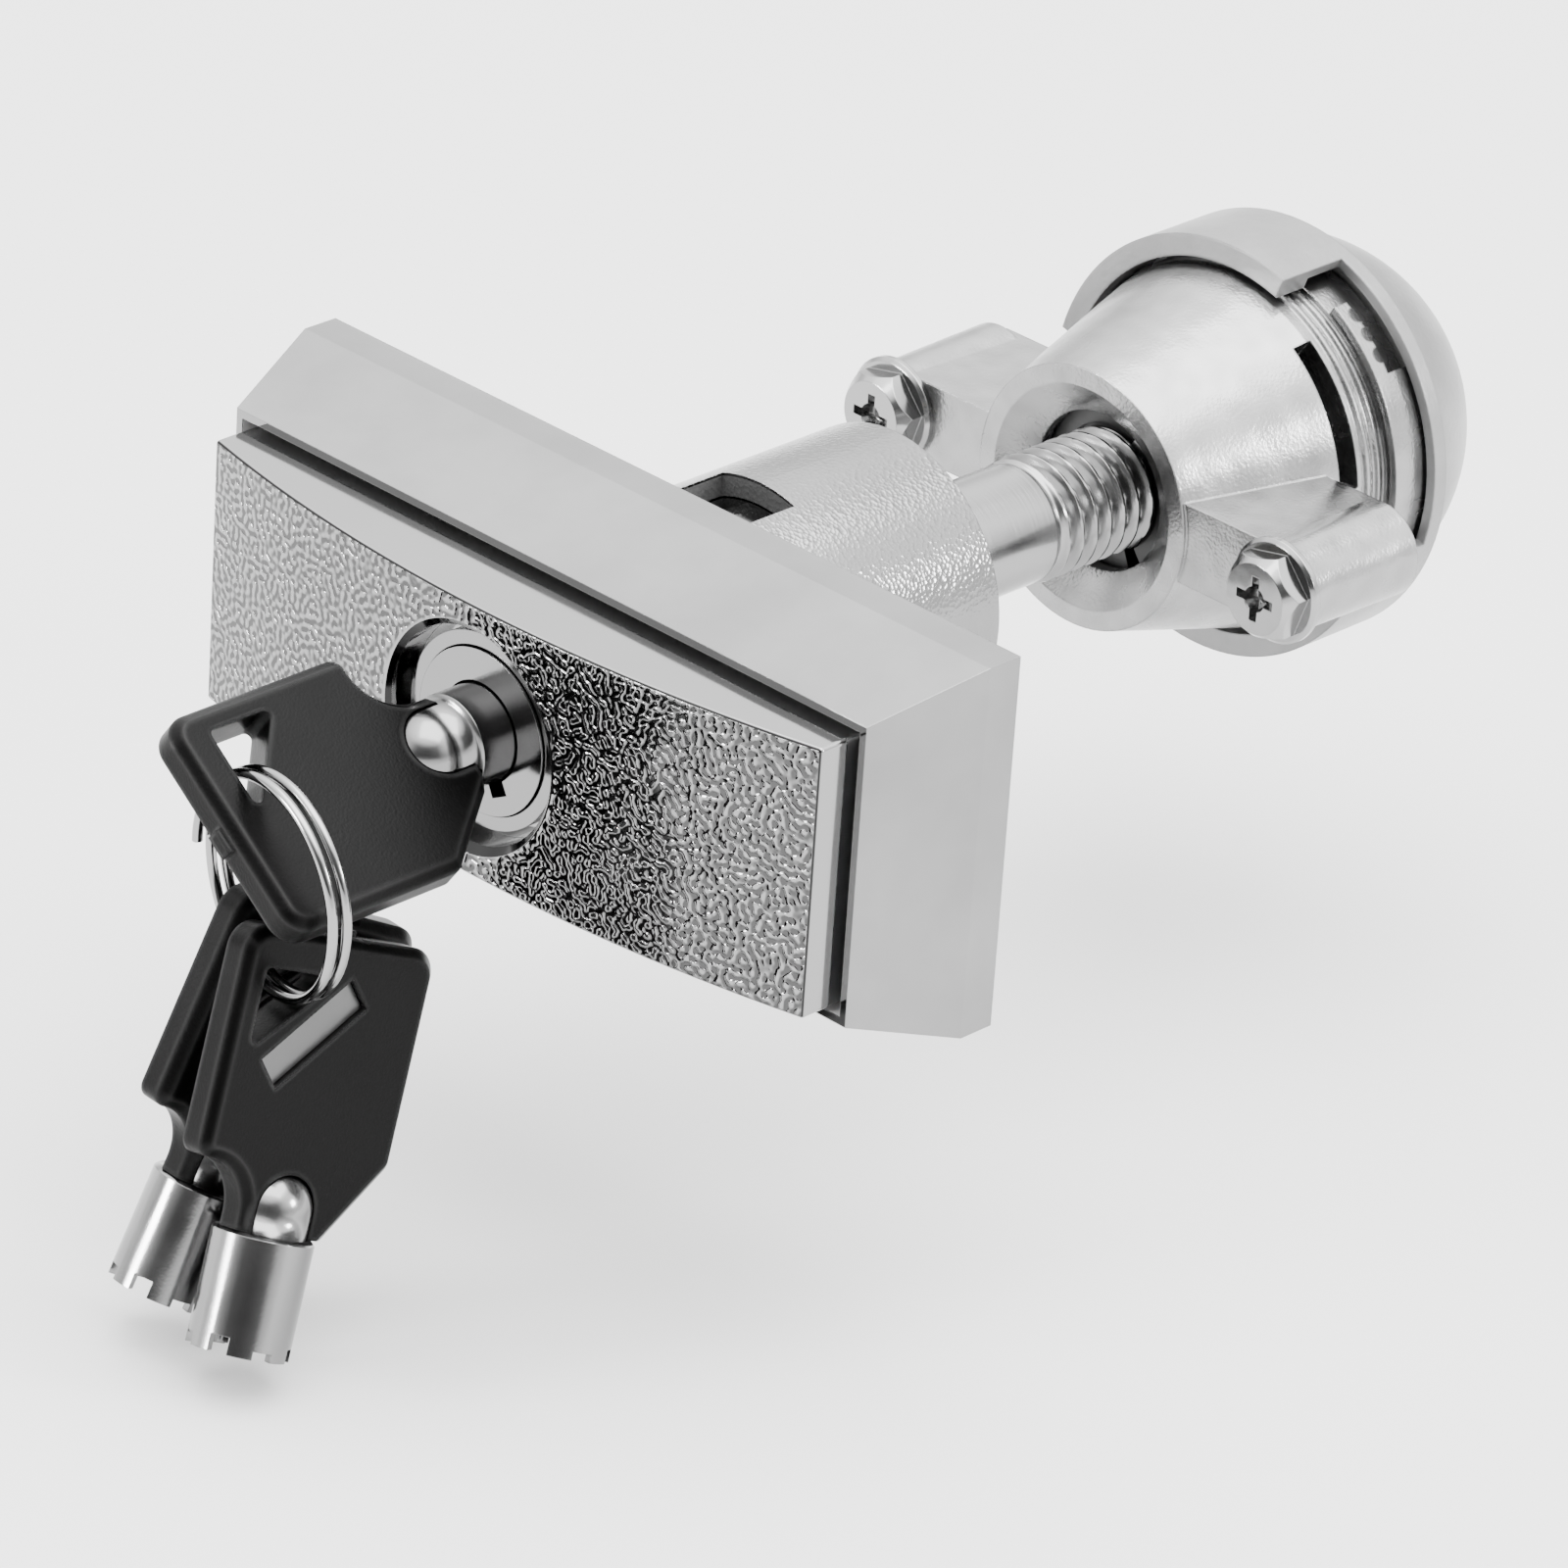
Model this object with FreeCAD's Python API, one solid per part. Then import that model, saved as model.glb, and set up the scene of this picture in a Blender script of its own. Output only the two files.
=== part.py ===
import FreeCAD, Part
import math
import os

# Pop-out T-handle lock with a seven-pin tubular cylinder, its keys and its quick-closing split nut.
# Sizes are in millimetres. The origin lies on the lock's axis in the plane of the bezel's rear face,
# which seats on the door. +Y runs to the rear along the stud, +X along the handle and +Z up.

V = FreeCAD.Vector

# Bezel and collar
bezel_w = 90.0
bezel_h = 37.4
slab_t = 3.9
rim_w = 82.9
rim_h = 30.2
bezel_d = 15.5
rim_wall = 0.8
floor_t = 6.0
collar_r = 14.9
collar_wall = 2.3
collar_len = 30.5
door_screw_x = 33.0
door_screw_r = 2.1
door_screw_depth = 4.6
window_left = -5.0
window_right = 4.5
window_front = 2.0
window_rear = 12.5

# Handle block and the sleeve behind it
block_gap = 0.75
seat_gap = 0.3
block_end_front = 19.46
crown_rise = 4.78
block_round = 0.4
block_wall = 3.2
pocket_r = 10.6
pocket_chamfer = 0.8
sleeve_fit = 0.1
sleeve_rear = 23.0
drive_wall = 4.0
pop_travel = 13.0

# Tubular cylinder
shell_flange_r = 9.6
shell_flange_t = 1.55
shell_front = 21.95
shell_r = 8.95
shell_rear = 1.9
barrel_r = 8.1
barrel_front = 22.26
keyway_clear = 0.2
pin_count = 7
pin_circle_r = 4.15
pin_r = 0.75
pin_clear = 0.06
chamber_r = 6.6
post_r = 3.3
shear_y = -8.0
flange_front = -15.2
rotor_shaft_r = 2.4
cam_r = 5.0
cam_t = 1.6
crank_e = 1.2
crank_r = 1.0
crank_start = -45.0

# Latch bolt
latch_front = 4.0
latch_t = 2.6
latch_w = 8.0
latch_tip = 12.3
latch_foot = -6.2

# Stud
square_w = 9.0
square_fit = 0.1
stud_flange_front = 24.0
stud_flange_t = 2.6
stud_flange_r = 12.3
shank_r = 6.05
thread_start = 48.4
thread_len = 32.3
thread_crest_r = 6.35
thread_depth = 1.1
spring_bore_r = 3.1
spring_bore_end = 29.0
bush_t = 2.0

# Nut unit
nut_front = 57.5
ring_r = 13.5
mouth_r = 11.55
throat_r = 8.15
cavity_front_r = 10.9
cone_angle = 15.0
housing_r = 18.5
cone_end = 76.4
band_front = 80.8
band_rear = 85.6
band_r = housing_r + 1.7
rear_bore_r = housing_r - 2.3
ear_x = housing_r + 7.1
ear_set_back = 0.4
ear_depth = 15.6
vent_w = 1.5
web_half = 4.2
boss_front_r = 4.5
boss_rear_r = 4.8
screw_r = 2.1
screw_hole_r = 2.2
screw_len = 11.0
segment_front = 61.6
segment_rear = 75.4
segment_fit = 0.3
thread_clear = 0.1
guide_t = 2.6
guide_room = 0.55
lug_w = 3.0
washer_t = 0.8
nut_push = 5.5

# Rear cap
cap_r = band_r + 1.4
cap_bore_r = band_r + 0.3
hood_front = 76.5
hood_lip_r = housing_r + 0.8
rim_front = 84.9
rim_rear = 87.3
dome_r = housing_r + 1.2
dome_centre = 84.5
dome_wall = 2.2
dome_flat_r = 8.0

# Keys and ring
tube_r = 4.75
tube_bore_r = 3.75
tube_len = 11.1
tube_tip = -15.4
bullet_r = 3.85
bullet_len = 2.2
bow_t = 4.2
bow_len = 27.6
bow_left = -11.1
bow_right = 11.9
bow_foot_left = -4.5
bow_foot_right = 5.8
bow_side_left = 6.2
bow_side_right = 7.5
bow_bevel = 1.0
hole_across = 9.0
hole_down = 7.6
hole_round = 0.6
recess_s = -1.3
recess_w = 18.6
recess_len = 12.0
recess_wide = 3.4
recess_angle = 44.0
recess_depth = 1.2
tang_t = 0.5
ring_centreline_r = 10.5
ring_wire_r = 0.5
ring_step = 1.45
key_wire_s = -4.675
key_wire_w = 21.554
spare_1_wire_s = -4.275
spare_1_wire_w = 21.523
spare_2_wire_s = -5.922
spare_2_wire_w = 20.864
key_roll = -36.4
cut_depths = (1.0, 1.5, 0.7, 1.2, 1.6, 0.8, 1.3)


# Helpers: plain solids along the lock's axis

def box(x0, x1, y0, y1, z0, z1):
    return Part.makeBox(x1 - x0, y1 - y0, z1 - z0, V(x0, y0, z0))


def rod(r, y0, y1, x=0.0, z=0.0):
    return Part.makeCylinder(r, y1 - y0, V(x, y0, z), V(0, 1, 0))


def tube(r_out, r_in, y0, y1):
    return rod(r_out, y0, y1).cut(rod(r_in, y0 - 1, y1 + 1))


def turned(points):
    """Solid of revolution about the Y axis from (radius, y) points."""
    corners = [V(r, y, 0) for r, y in points]
    face = Part.Face(Part.makePolygon(corners + corners[:1]))
    return face.revolve(V(0, 0, 0), V(0, 1, 0), 360)


def polar(r, degrees, y=0.0):
    """Point at a polar angle counted from +X towards +Z."""
    a = math.radians(degrees)
    return V(r * math.cos(a), y, r * math.sin(a))


def turn(shape, degrees):
    """Copy turned about the Y axis, from +X towards +Z."""
    copy = shape.copy()
    copy.rotate(V(0, 0, 0), V(0, -1, 0), degrees)
    return copy


def sector(a0, a1, r, y0, y1):
    """Pie slice between two polar angles."""
    arc = Part.Arc(polar(r, a0, y0), polar(r, (a0 + a1) / 2, y0), polar(r, a1, y0)).toShape()
    centre = V(0, y0, 0)
    edges = [Part.makeLine(centre, polar(r, a0, y0)), arc, Part.makeLine(polar(r, a1, y0), centre)]
    return Part.Face(Part.Wire(edges)).extrude(V(0, y1 - y0, 0))


def ring_sector(a0, a1, r_out, r_in, y0, y1):
    return sector(a0, a1, r_out, y0, y1).cut(rod(r_in, y0 - 1, y1 + 1))


def fused(first, *others):
    return first.fuse(list(others)).removeSplitter()


def coil_points(centre, axis, across, radius, pitch, turns):
    """Ends and middles of the half circles that a coil is made of, in order along its wire."""
    up = V(axis).normalize()
    side = V(across).normalize()
    ahead = up.cross(side)
    rise = pitch / 2
    points = []
    for half in range(int(round(2 * turns)) + 1):
        sign = 1 if half % 2 == 0 else -1
        end = centre + side * (radius * sign) + up * (rise * half)
        points.append(end)
        if half < int(round(2 * turns)):
            reach = math.hypot(radius, rise / 2)
            points.append(centre + ahead * (reach * sign) + up * (rise * (half + 0.5)))
    return points


def coil(centre, axis, across, radius, pitch, turns, wire_r):
    """Unbroken round wire wound on half circles that meet with a common tangent."""
    points = coil_points(centre, axis, across, radius, pitch, turns)
    arcs = [
        Part.Arc(points[i], points[i + 1], points[i + 2]).toShape()
        for i in range(0, len(points) - 2, 2)
    ]
    start_dir = V(axis).normalize().cross(V(across).normalize())
    section = Part.Wire(Part.makeCircle(wire_r, points[0], start_dir))
    return Part.Wire(arcs).makePipeShell([section], True, False)


# Bezel housing

collar_bore_r = collar_r - collar_wall
sleeve_r = collar_bore_r - sleeve_fit
floor_y = -floor_t


def frustum(w0, h0, y0, w1, h1, y1):
    wires = []
    for w, h, y in ((w0, h0, y0), (w1, h1, y1)):
        corners = [V(-w / 2, y, -h / 2), V(w / 2, y, -h / 2), V(w / 2, y, h / 2), V(-w / 2, y, h / 2)]
        wires.append(Part.makePolygon(corners + corners[:1]))
    return Part.makeLoft(wires, True, True)


def bezel_housing():
    slab = box(-bezel_w / 2, bezel_w / 2, -slab_t, 0, -bezel_h / 2, bezel_h / 2)
    nose = frustum(rim_w, rim_h, -bezel_d, bezel_w, bezel_h, -slab_t)
    body = fused(slab, nose, rod(collar_r, -1, collar_len))
    recess_w = rim_w - 2 * rim_wall
    recess_h = rim_h - 2 * rim_wall
    recess = box(-recess_w / 2, recess_w / 2, -bezel_d - 1, floor_y, -recess_h / 2, recess_h / 2)
    bore = rod(collar_bore_r, floor_y - 1, collar_len + 1)
    window = box(window_left, window_right, window_front, window_rear, 0, collar_r + 1)
    ring_groove = tube(collar_bore_r + 1.0, collar_bore_r - 1, groove_front, groove_front + 1.1)
    body = body.cut([recess, bore, window, ring_groove])
    holes = [
        rod(door_screw_r, -door_screw_depth, 1, side * door_screw_x) for side in (-1, 1)
    ]
    return body.cut(holes)


# Handle block, crowned along its length, with its guide sleeve

block_w = rim_w - 2 * rim_wall - 2 * block_gap
block_h = rim_h - 2 * rim_wall - 2 * block_gap
block_rear = floor_y - seat_gap
crown_front = -(block_end_front + crown_rise)
pocket_floor = -(shell_front - shell_flange_t)
sleeve_bore_r = shell_r + 0.05


def handle_block():
    half = block_w / 2
    crown_radius = (half ** 2 + crown_rise ** 2) / (2 * crown_rise)
    plain = box(-half, half, crown_front - 1, block_rear, -block_h / 2, block_h / 2)
    bow = Part.makeCylinder(
        crown_radius, block_h + 4, V(0, crown_front + crown_radius, -block_h / 2 - 2), V(0, 0, 1)
    )
    block = plain.common(bow)
    outer = [e for e in block.Edges if e.BoundBox.YMin < block_rear - 1]
    block = block.makeFillet(block_round, outer)
    sleeve = rod(sleeve_r, block_rear - 1, sleeve_rear)
    body = fused(block, sleeve)
    mouth = Part.makeCone(
        pocket_r + pocket_chamfer + 1, pocket_r, pocket_chamfer + 1, V(0, crown_front - 1, 0), V(0, 1, 0)
    )
    pocket = rod(pocket_r, crown_front - 1, pocket_floor)
    bore = rod(sleeve_bore_r, pocket_floor - 1, sleeve_rear - drive_wall)
    half_square = square_w / 2 + square_fit
    drive = box(-half_square, half_square, 0, sleeve_rear + 1, -half_square, half_square)
    cores = []
    for side in (-1, 1):
        inner = sleeve_r + 2.5
        outer = half - block_wall
        x0, x1 = sorted((side * inner, side * outer))
        cores.append(box(x0, x1, -block_end_front + block_wall, block_rear + 1,
                         -block_h / 2 + block_wall, block_h / 2 - block_wall))
    slot_half = latch_w / 2 + 0.15
    slot = box(-slot_half, slot_half, latch_front - 0.15, latch_front + latch_t + 0.15, 0, sleeve_r + 1)
    return body.cut([mouth, pocket, bore, drive, slot] + cores)


# Tubular cylinder: shell, barrel, rotor, pins, cam

barrel_rear = shell_rear
keyway_r = tube_r + keyway_clear


def lock_shell():
    flange = rod(shell_flange_r, -shell_front, pocket_floor)
    body = rod(shell_r, pocket_floor, shell_rear)
    return fused(flange, body).cut(rod(barrel_r + 0.15, -shell_front - 1, shell_rear + 1))


def lock_barrel():
    body = rod(barrel_r, -barrel_front, barrel_rear)
    keyway = rod(keyway_r, -barrel_front - 1, flange_front)
    chamber = rod(chamber_r, flange_front - 0.1, barrel_rear + 1)
    notch = box(0, keyway_r + 1.3, -barrel_front - 1, -barrel_front + 4, -1.0, 1.0)
    pin_hole = Part.makeCylinder(0.85, 20, V(0, -4, 0), V(0, 0, -1))
    return body.cut([keyway, chamber, turn(notch, -62), pin_hole])


def pin_spot(k, y=0.0):
    """Centre of a pin; the first one lines up with the first cut of the inserted key."""
    return polar(pin_circle_r, key_roll + 360.0 / pin_count * k, y)


def pin_ring(r, y0, y1):
    """Rods on the pin circle; y0 and y1 give each one's ends."""
    spots = [pin_spot(k) for k in range(pin_count)]
    return [rod(r, y0(k), y1(k), spot.x, spot.z) for k, spot in enumerate(spots)]


def lock_rotor():
    post = rod(post_r, -21.0, flange_front + 0.1)
    flange = rod(chamber_r - 0.1, flange_front, shear_y - 0.05)
    shaft = rod(rotor_shaft_r, shear_y - 0.1, cam_front + cam_t)
    chambers = pin_ring(pin_r + pin_clear, lambda k: flange_front - 1, lambda k: shear_y + 1)
    tab_slot = key_place(key_tab(0.15))
    return fused(post, flange, shaft).cut(chambers + [tab_slot])


def pin_front(k):
    """Front end of a key pin, resting against its cut in the key's tube."""
    return tube_tip - cut_depths[k] + 0.1


def key_pins():
    return Part.makeCompound(pin_ring(pin_r, pin_front, lambda k: shear_y - 0.05))


def pin_block():
    body = rod(chamber_r - 0.05, shear_y, barrel_rear - 0.4)
    wells = pin_ring(pin_r + pin_clear, lambda k: shear_y - 1, lambda k: barrel_rear - 1.4)
    cross = Part.makeCylinder(0.85, 20, V(0, -4, -rotor_shaft_r - 2.4), V(0, 0, -1))
    return body.cut([rod(rotor_shaft_r + 0.08, shear_y - 1, barrel_rear + 1), cross] + wells)


def driver_pins():
    return Part.makeCompound(pin_ring(pin_r, lambda k: shear_y, lambda k: shear_y + 2.6))


def pin_springs():
    """Closed springs as plain sleeves, because nothing opens or shows through the pin block."""
    front = shear_y + 2.65
    rear = barrel_rear - 1.45
    sleeves = pin_ring(pin_r - 0.05, lambda k: front, lambda k: rear)
    bores = pin_ring(pin_r - 0.3, lambda k: front - 1, lambda k: rear + 1)
    return Part.makeCompound([sleeve.cut(bore) for sleeve, bore in zip(sleeves, bores)])


def barrel_pin():
    top = rotor_shaft_r + 2.5
    return Part.makeCylinder(0.8, barrel_r - top, V(0, -4, -top), V(0, 0, -1))


cam_front = barrel_rear + 0.2


def lock_cam():
    disc = rod(cam_r, cam_front, cam_front + cam_t).cut(rod(rotor_shaft_r + 0.02, 0, 9))
    at = polar(crank_e, crank_start)
    web = rod(cam_r, cam_front + cam_t, cam_front + cam_t + 0.15)
    crank = rod(crank_r, cam_front + cam_t, latch_front + latch_t - 0.1, at.x, at.z)
    return fused(disc, web, crank)


def latch_bolt():
    half = latch_w / 2
    at = polar(crank_e, crank_start)
    play = crank_r + 0.15
    plate = box(-half, half, latch_front, latch_front + latch_t, latch_foot, latch_tip)
    plate = plate.common(rod(sleeve_r - 0.1, latch_front, latch_front + latch_t))
    slot = box(at.x - play - 0.1, crank_e + play, latch_front - 1, latch_front + latch_t + 1,
               at.z - play, at.z + play)
    return plate.cut(slot)


seat_plate_front = latch_front + latch_t + 0.3
seat_plate_t = 0.8


def spring_seat():
    return rod(shell_r, seat_plate_front, seat_plate_front + seat_plate_t)


def pop_spring():
    """Hidden coil in its closed state, as a plain sleeve over its wire."""
    return tube(2.8, 2.0, seat_plate_front + seat_plate_t + 0.1, spring_bore_end - 0.1)


# Stud with its square drive, flange and thread

bush_front = stud_flange_front + stud_flange_t + 0.3
groove_front = bush_front + bush_t + 0.1
square_front = seat_plate_front + seat_plate_t + 0.3


def stud():
    """Square drive, flange, shank and the threaded length at its crest."""
    half = square_w / 2
    square = box(-half, half, square_front, stud_flange_front, -half, half)
    square = square.common(rod(square_w * 0.655, square_front, stud_flange_front))
    end = thread_start + thread_len
    lead = thread_crest_r - shank_r
    core = turned([
        (0, stud_flange_front), (stud_flange_r, stud_flange_front),
        (stud_flange_r, stud_flange_front + stud_flange_t),
        (shank_r, stud_flange_front + stud_flange_t), (shank_r, thread_start - lead),
        (thread_crest_r, thread_start), (thread_crest_r, end - thread_depth),
        (thread_crest_r - thread_depth, end), (0, end),
    ])
    bore = rod(spring_bore_r, square_front - 1, spring_bore_end)
    return square.fuse(core).cut(bore)


def stud_bush():
    return tube(collar_bore_r - 0.05, shank_r + 0.1, bush_front, bush_front + bush_t)


def retaining_ring():
    y0 = groove_front + 0.05
    y1 = y0 + 1.0
    ring = tube(collar_bore_r + 0.85, collar_bore_r - 1.7, y0, y1)
    gap = box(-2.6, 2.6, y0 - 1, y1 + 1, -collar_r, 0)
    spots = [polar(collar_bore_r - 2.2, -90 + side * 19) for side in (-1, 1)]
    eyes = [rod(1.5, y0, y1, spot.x, spot.z) for spot in spots]
    holes = [rod(0.7, y0 - 1, y1 + 1, spot.x, spot.z) for spot in spots]
    return fused(ring.cut(gap), *eyes).cut(holes)


# Nut unit: housing, split nut, guide, washer, spring, screws

cone_slope = math.tan(math.radians(cone_angle))
cavity_front = segment_front - 0.3
cavity_rear = cavity_front + (rear_bore_r - cavity_front_r) / cone_slope


def cavity_r(y):
    """Radius of the cone that the nut segments slide in, and of the bore behind it."""
    return min(rear_bore_r, cavity_front_r + (y - cavity_front) * cone_slope)


guide_front = segment_rear + 0.3
guide_r = cavity_r(guide_front) - guide_room


def cavity():
    return turned([
        (0, cavity_front), (cavity_front_r, cavity_front), (rear_bore_r, cavity_rear),
        (rear_bore_r, band_rear + 1), (0, band_rear + 1),
    ])


ear_front = nut_front + ear_set_back


def ear(side):
    web = box(0, ear_x, ear_front, ear_front + ear_depth, -web_half, web_half)
    round_off = 1.0
    boss_profile = [
        V(0, ear_front, 0), V(boss_front_r, ear_front, 0),
        V(boss_rear_r, ear_front + ear_depth - round_off, 0),
        V(boss_rear_r - round_off, ear_front + ear_depth, 0), V(0, ear_front + ear_depth, 0),
    ]
    boss = Part.Face(Part.makePolygon(boss_profile + boss_profile[:1]))
    boss = boss.revolve(V(0, 0, 0), V(0, 1, 0), 360)
    boss.translate(V(ear_x, 0, 0))
    both = web.fuse(boss)
    if side < 0:
        both = both.mirror(V(0, 0, 0), V(1, 0, 0))
    return both


def nut_housing():
    shell = turned([
        (0, nut_front), (ring_r, nut_front), (housing_r, cone_end), (housing_r, band_front),
        (band_r, band_front), (band_r, band_rear), (0, band_rear),
    ])
    beads = [
        turned([(housing_r - 0.2, y - 0.6), (housing_r + 0.4, y - 0.2), (housing_r + 0.4, y + 0.2),
                (housing_r - 0.2, y + 0.6)])
        for y in (cone_end + 1.9, cone_end + 3.5)
    ]
    body = fused(shell, ear(1), ear(-1), *beads)
    mouth = Part.makeCone(mouth_r, throat_r, 2.5, V(0, nut_front, 0), V(0, 1, 0))
    throat = rod(throat_r, nut_front, cavity_front + 1)
    vent = ring_sector(7, 55, housing_r + 2, 10, cone_end - vent_w, cone_end + 0.7)
    cuts = [mouth, throat, cavity(), vent]
    for start in (60, 240):
        cuts.append(ring_sector(start, start + 65, band_r + 1, housing_r + 0.6, band_front, band_rear + 1))
    for start in (37, 217):
        cuts.append(ring_sector(start, start + 24, band_r + 1, housing_r + 0.6, band_front + 1.8,
                                band_rear + 1))
        for step in (5.5, 12.0, 18.5):
            tooth_gap = Part.makeCylinder(0.8, 8, V(housing_r + 0.6, band_front + 1.8, 0), V(1, 0, 0))
            cuts.append(turn(tooth_gap, start + step))
    for side in (-1, 1):
        cuts.append(rod(screw_hole_r, ear_front - 1, ear_front + screw_len + 1.5, side * ear_x))
    body = body.cut(cuts)
    ribs = []
    for angle in (60, 180, 300):
        rib = box(guide_r - 0.6, rear_bore_r + 0.6, segment_rear + 0.6, band_rear, -1.0, 1.0)
        ribs.append(turn(rib, angle))
    return body.fuse(ribs)


segment_bore_r = thread_crest_r + thread_clear


def nut_segment(angle):
    """One third of the split nut: a cone outside, the stud's bore inside and a lug at the rear."""
    front = segment_front
    rear = segment_rear
    outer_front = cavity_r(front) - segment_fit
    outer_rear = cavity_r(rear) - segment_fit
    ring = turned([
        (segment_bore_r, front), (outer_front, front), (outer_rear, rear), (segment_bore_r, rear),
    ])
    body = ring.common(sector(angle - 54, angle + 54, 30, front - 1, rear + 1))
    lug = box(9.0, 11.5, rear - 0.5, rear + guide_t - 0.1, -lug_w / 2, lug_w / 2)
    return body.fuse(turn(lug, angle))


def segment_guide():
    plate = tube(guide_r, thread_crest_r + 0.9, guide_front, guide_front + guide_t)
    cuts = []
    for angle in (0, 120, 240):
        slot = box(8.7, 13.4, guide_front - 1, guide_front + guide_t + 1, -lug_w / 2 - 0.1, lug_w / 2 + 0.1)
        cuts.append(turn(slot, angle))
        notch = box(guide_r - 0.9, guide_r + 1, guide_front - 1, guide_front + guide_t + 1, -1.2, 1.2)
        cuts.append(turn(notch, angle + 60))
    return plate.cut(cuts)


washer_front = guide_front + guide_t + 0.3
cap_seat = dome_centre + math.sqrt((dome_r - dome_wall) ** 2 - dome_flat_r ** 2) - 3.0


def room_r(y):
    """Radius of the room under the dome at a distance along the axis."""
    return math.sqrt((dome_r - dome_wall) ** 2 - (y - dome_centre) ** 2)


def thrust_washer():
    return tube(guide_r - 1.2, thread_crest_r + 1.4, washer_front, washer_front + washer_t)


def nut_spring():
    """Hidden coil between the washer and the cap, as a plain sleeve over its wire."""
    return tube(11.4, 9.8, washer_front + washer_t + 0.3, cap_seat - 0.3)


def ear_screws():
    screws = []
    for side in (-1, 1):
        x = side * ear_x
        shank = rod(screw_r, ear_front - 0.5, ear_front + screw_len, x)
        flange = rod(5.3, ear_front - 0.9, ear_front, x)
        flange = flange.makeChamfer(0.35, [e for e in flange.Edges if e.BoundBox.YMax < ear_front - 0.5])
        corners = [
            V(x + 4.6 * math.cos(math.radians(60 * k + 12)), ear_front - 3.5,
              4.6 * math.sin(math.radians(60 * k + 12))) for k in range(6)
        ]
        hexagon = Part.Face(Part.makePolygon(corners + corners[:1])).extrude(V(0, 3.0, 0))
        crown = Part.makeCone(3.6, 6.0, 3.0, V(x, ear_front - 3.5, 0), V(0, 1, 0))
        head = hexagon.common(crown)
        cross = []
        for w, t in ((4.6, 0.95), (0.95, 4.6)):
            cross.append(box(x - w / 2, x + w / 2, ear_front - 4, ear_front - 2.1, -t / 2, t / 2))
        cross.append(Part.makeCone(1.3, 0.5, 2.2, V(x, ear_front - 3.5, 0), V(0, 1, 0)))
        screws.append(fused(shank, flange, head).cut(cross))
    return Part.makeCompound(screws)


def sphere_y(radius, r):
    """Height of the dome's sphere over its foot at a radius from the axis."""
    return dome_centre + math.sqrt(radius ** 2 - r ** 2)


def rear_cap():
    """Domed cap with a rim, a flat top and two hoods that reach over the housing's band."""
    foot_r = math.sqrt(dome_r ** 2 - (rim_rear - 0.4 - dome_centre) ** 2)
    top = V(dome_flat_r, sphere_y(dome_r, dome_flat_r), 0)
    foot = V(foot_r, rim_rear - 0.4, 0)
    mid_r = dome_r * math.sin((math.asin(dome_flat_r / dome_r) + math.asin(foot_r / dome_r)) / 2)
    dome = Part.Arc(foot, V(mid_r, sphere_y(dome_r, mid_r), 0), top).toShape()
    corners = [
        top, V(0, top.y, 0), V(0, cap_seat, 0), V(room_r(cap_seat), cap_seat, 0),
        V(room_r(cap_seat - 5.0), cap_seat - 5.0, 0), V(dome_r - dome_wall, band_rear + 0.4, 0),
        V(cap_bore_r, band_rear + 0.4, 0), V(cap_bore_r, rim_front, 0), V(cap_r, rim_front, 0),
        V(cap_r, rim_rear - 0.7, 0), V(cap_r - 0.7, rim_rear, 0), V(foot_r - 0.4, rim_rear, 0), foot,
    ]
    edges = [dome] + [Part.makeLine(a, b) for a, b in zip(corners, corners[1:])]
    body = Part.Face(Part.Wire(edges)).revolve(V(0, 0, 0), V(0, 1, 0), 360)
    hoods = []
    for start in (71, 251):
        hood = ring_sector(start, start + 95, cap_r, cap_bore_r, hood_front, rim_front + 0.5)
        lip = ring_sector(start, start + 95, cap_r, hood_lip_r, hood_front, band_front - 0.3)
        hoods += [hood, lip]
    return fused(body, *hoods)


# Keys: tube and bow in their own frame, the tube's tip down and the bow up along Z

def key_tab(extra=0.0):
    """Inner drive tab of the tube; with extra play it cuts the rotor post's slot."""
    half = 0.6 + extra
    inner = post_r - 0.35 - extra
    foot = -tube_len + 0.2 - (1 if extra else 0)
    length = 5.2 + (2 if extra else 0)
    tab = Part.makeBox(tube_bore_r + 0.5 - inner, 2 * half, length, V(inner, -half, foot))
    tab.rotate(V(0, 0, 0), V(0, 0, 1), 1.5 * 360.0 / pin_count)
    return tab


def key_tube():
    body = Part.makeCylinder(tube_r, tube_len, V(0, 0, -tube_len))
    rear = [e for e in body.Edges if e.BoundBox.ZMin > -0.1]
    body = body.makeChamfer(0.35, rear)
    bore = Part.makeCylinder(tube_bore_r, tube_len - 1.8, V(0, 0, -tube_len))
    cuts = [bore]
    for k, depth in enumerate(cut_depths):
        notch = Part.makeBox(3.0, 1.9, depth + 1, V(3.2, -0.95, -tube_len - 1))
        notch.rotate(V(0, 0, 0), V(0, 0, 1), 360.0 / pin_count * k)
        cuts.append(notch)
    body = body.cut(cuts)
    bullet = Part.makeCylinder(bullet_r, bullet_len, V(0, 0, 0))
    nose = Part.makeSphere(bullet_r, V(0, 0, bullet_len))
    return fused(body, bullet, nose, key_tab())


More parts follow.
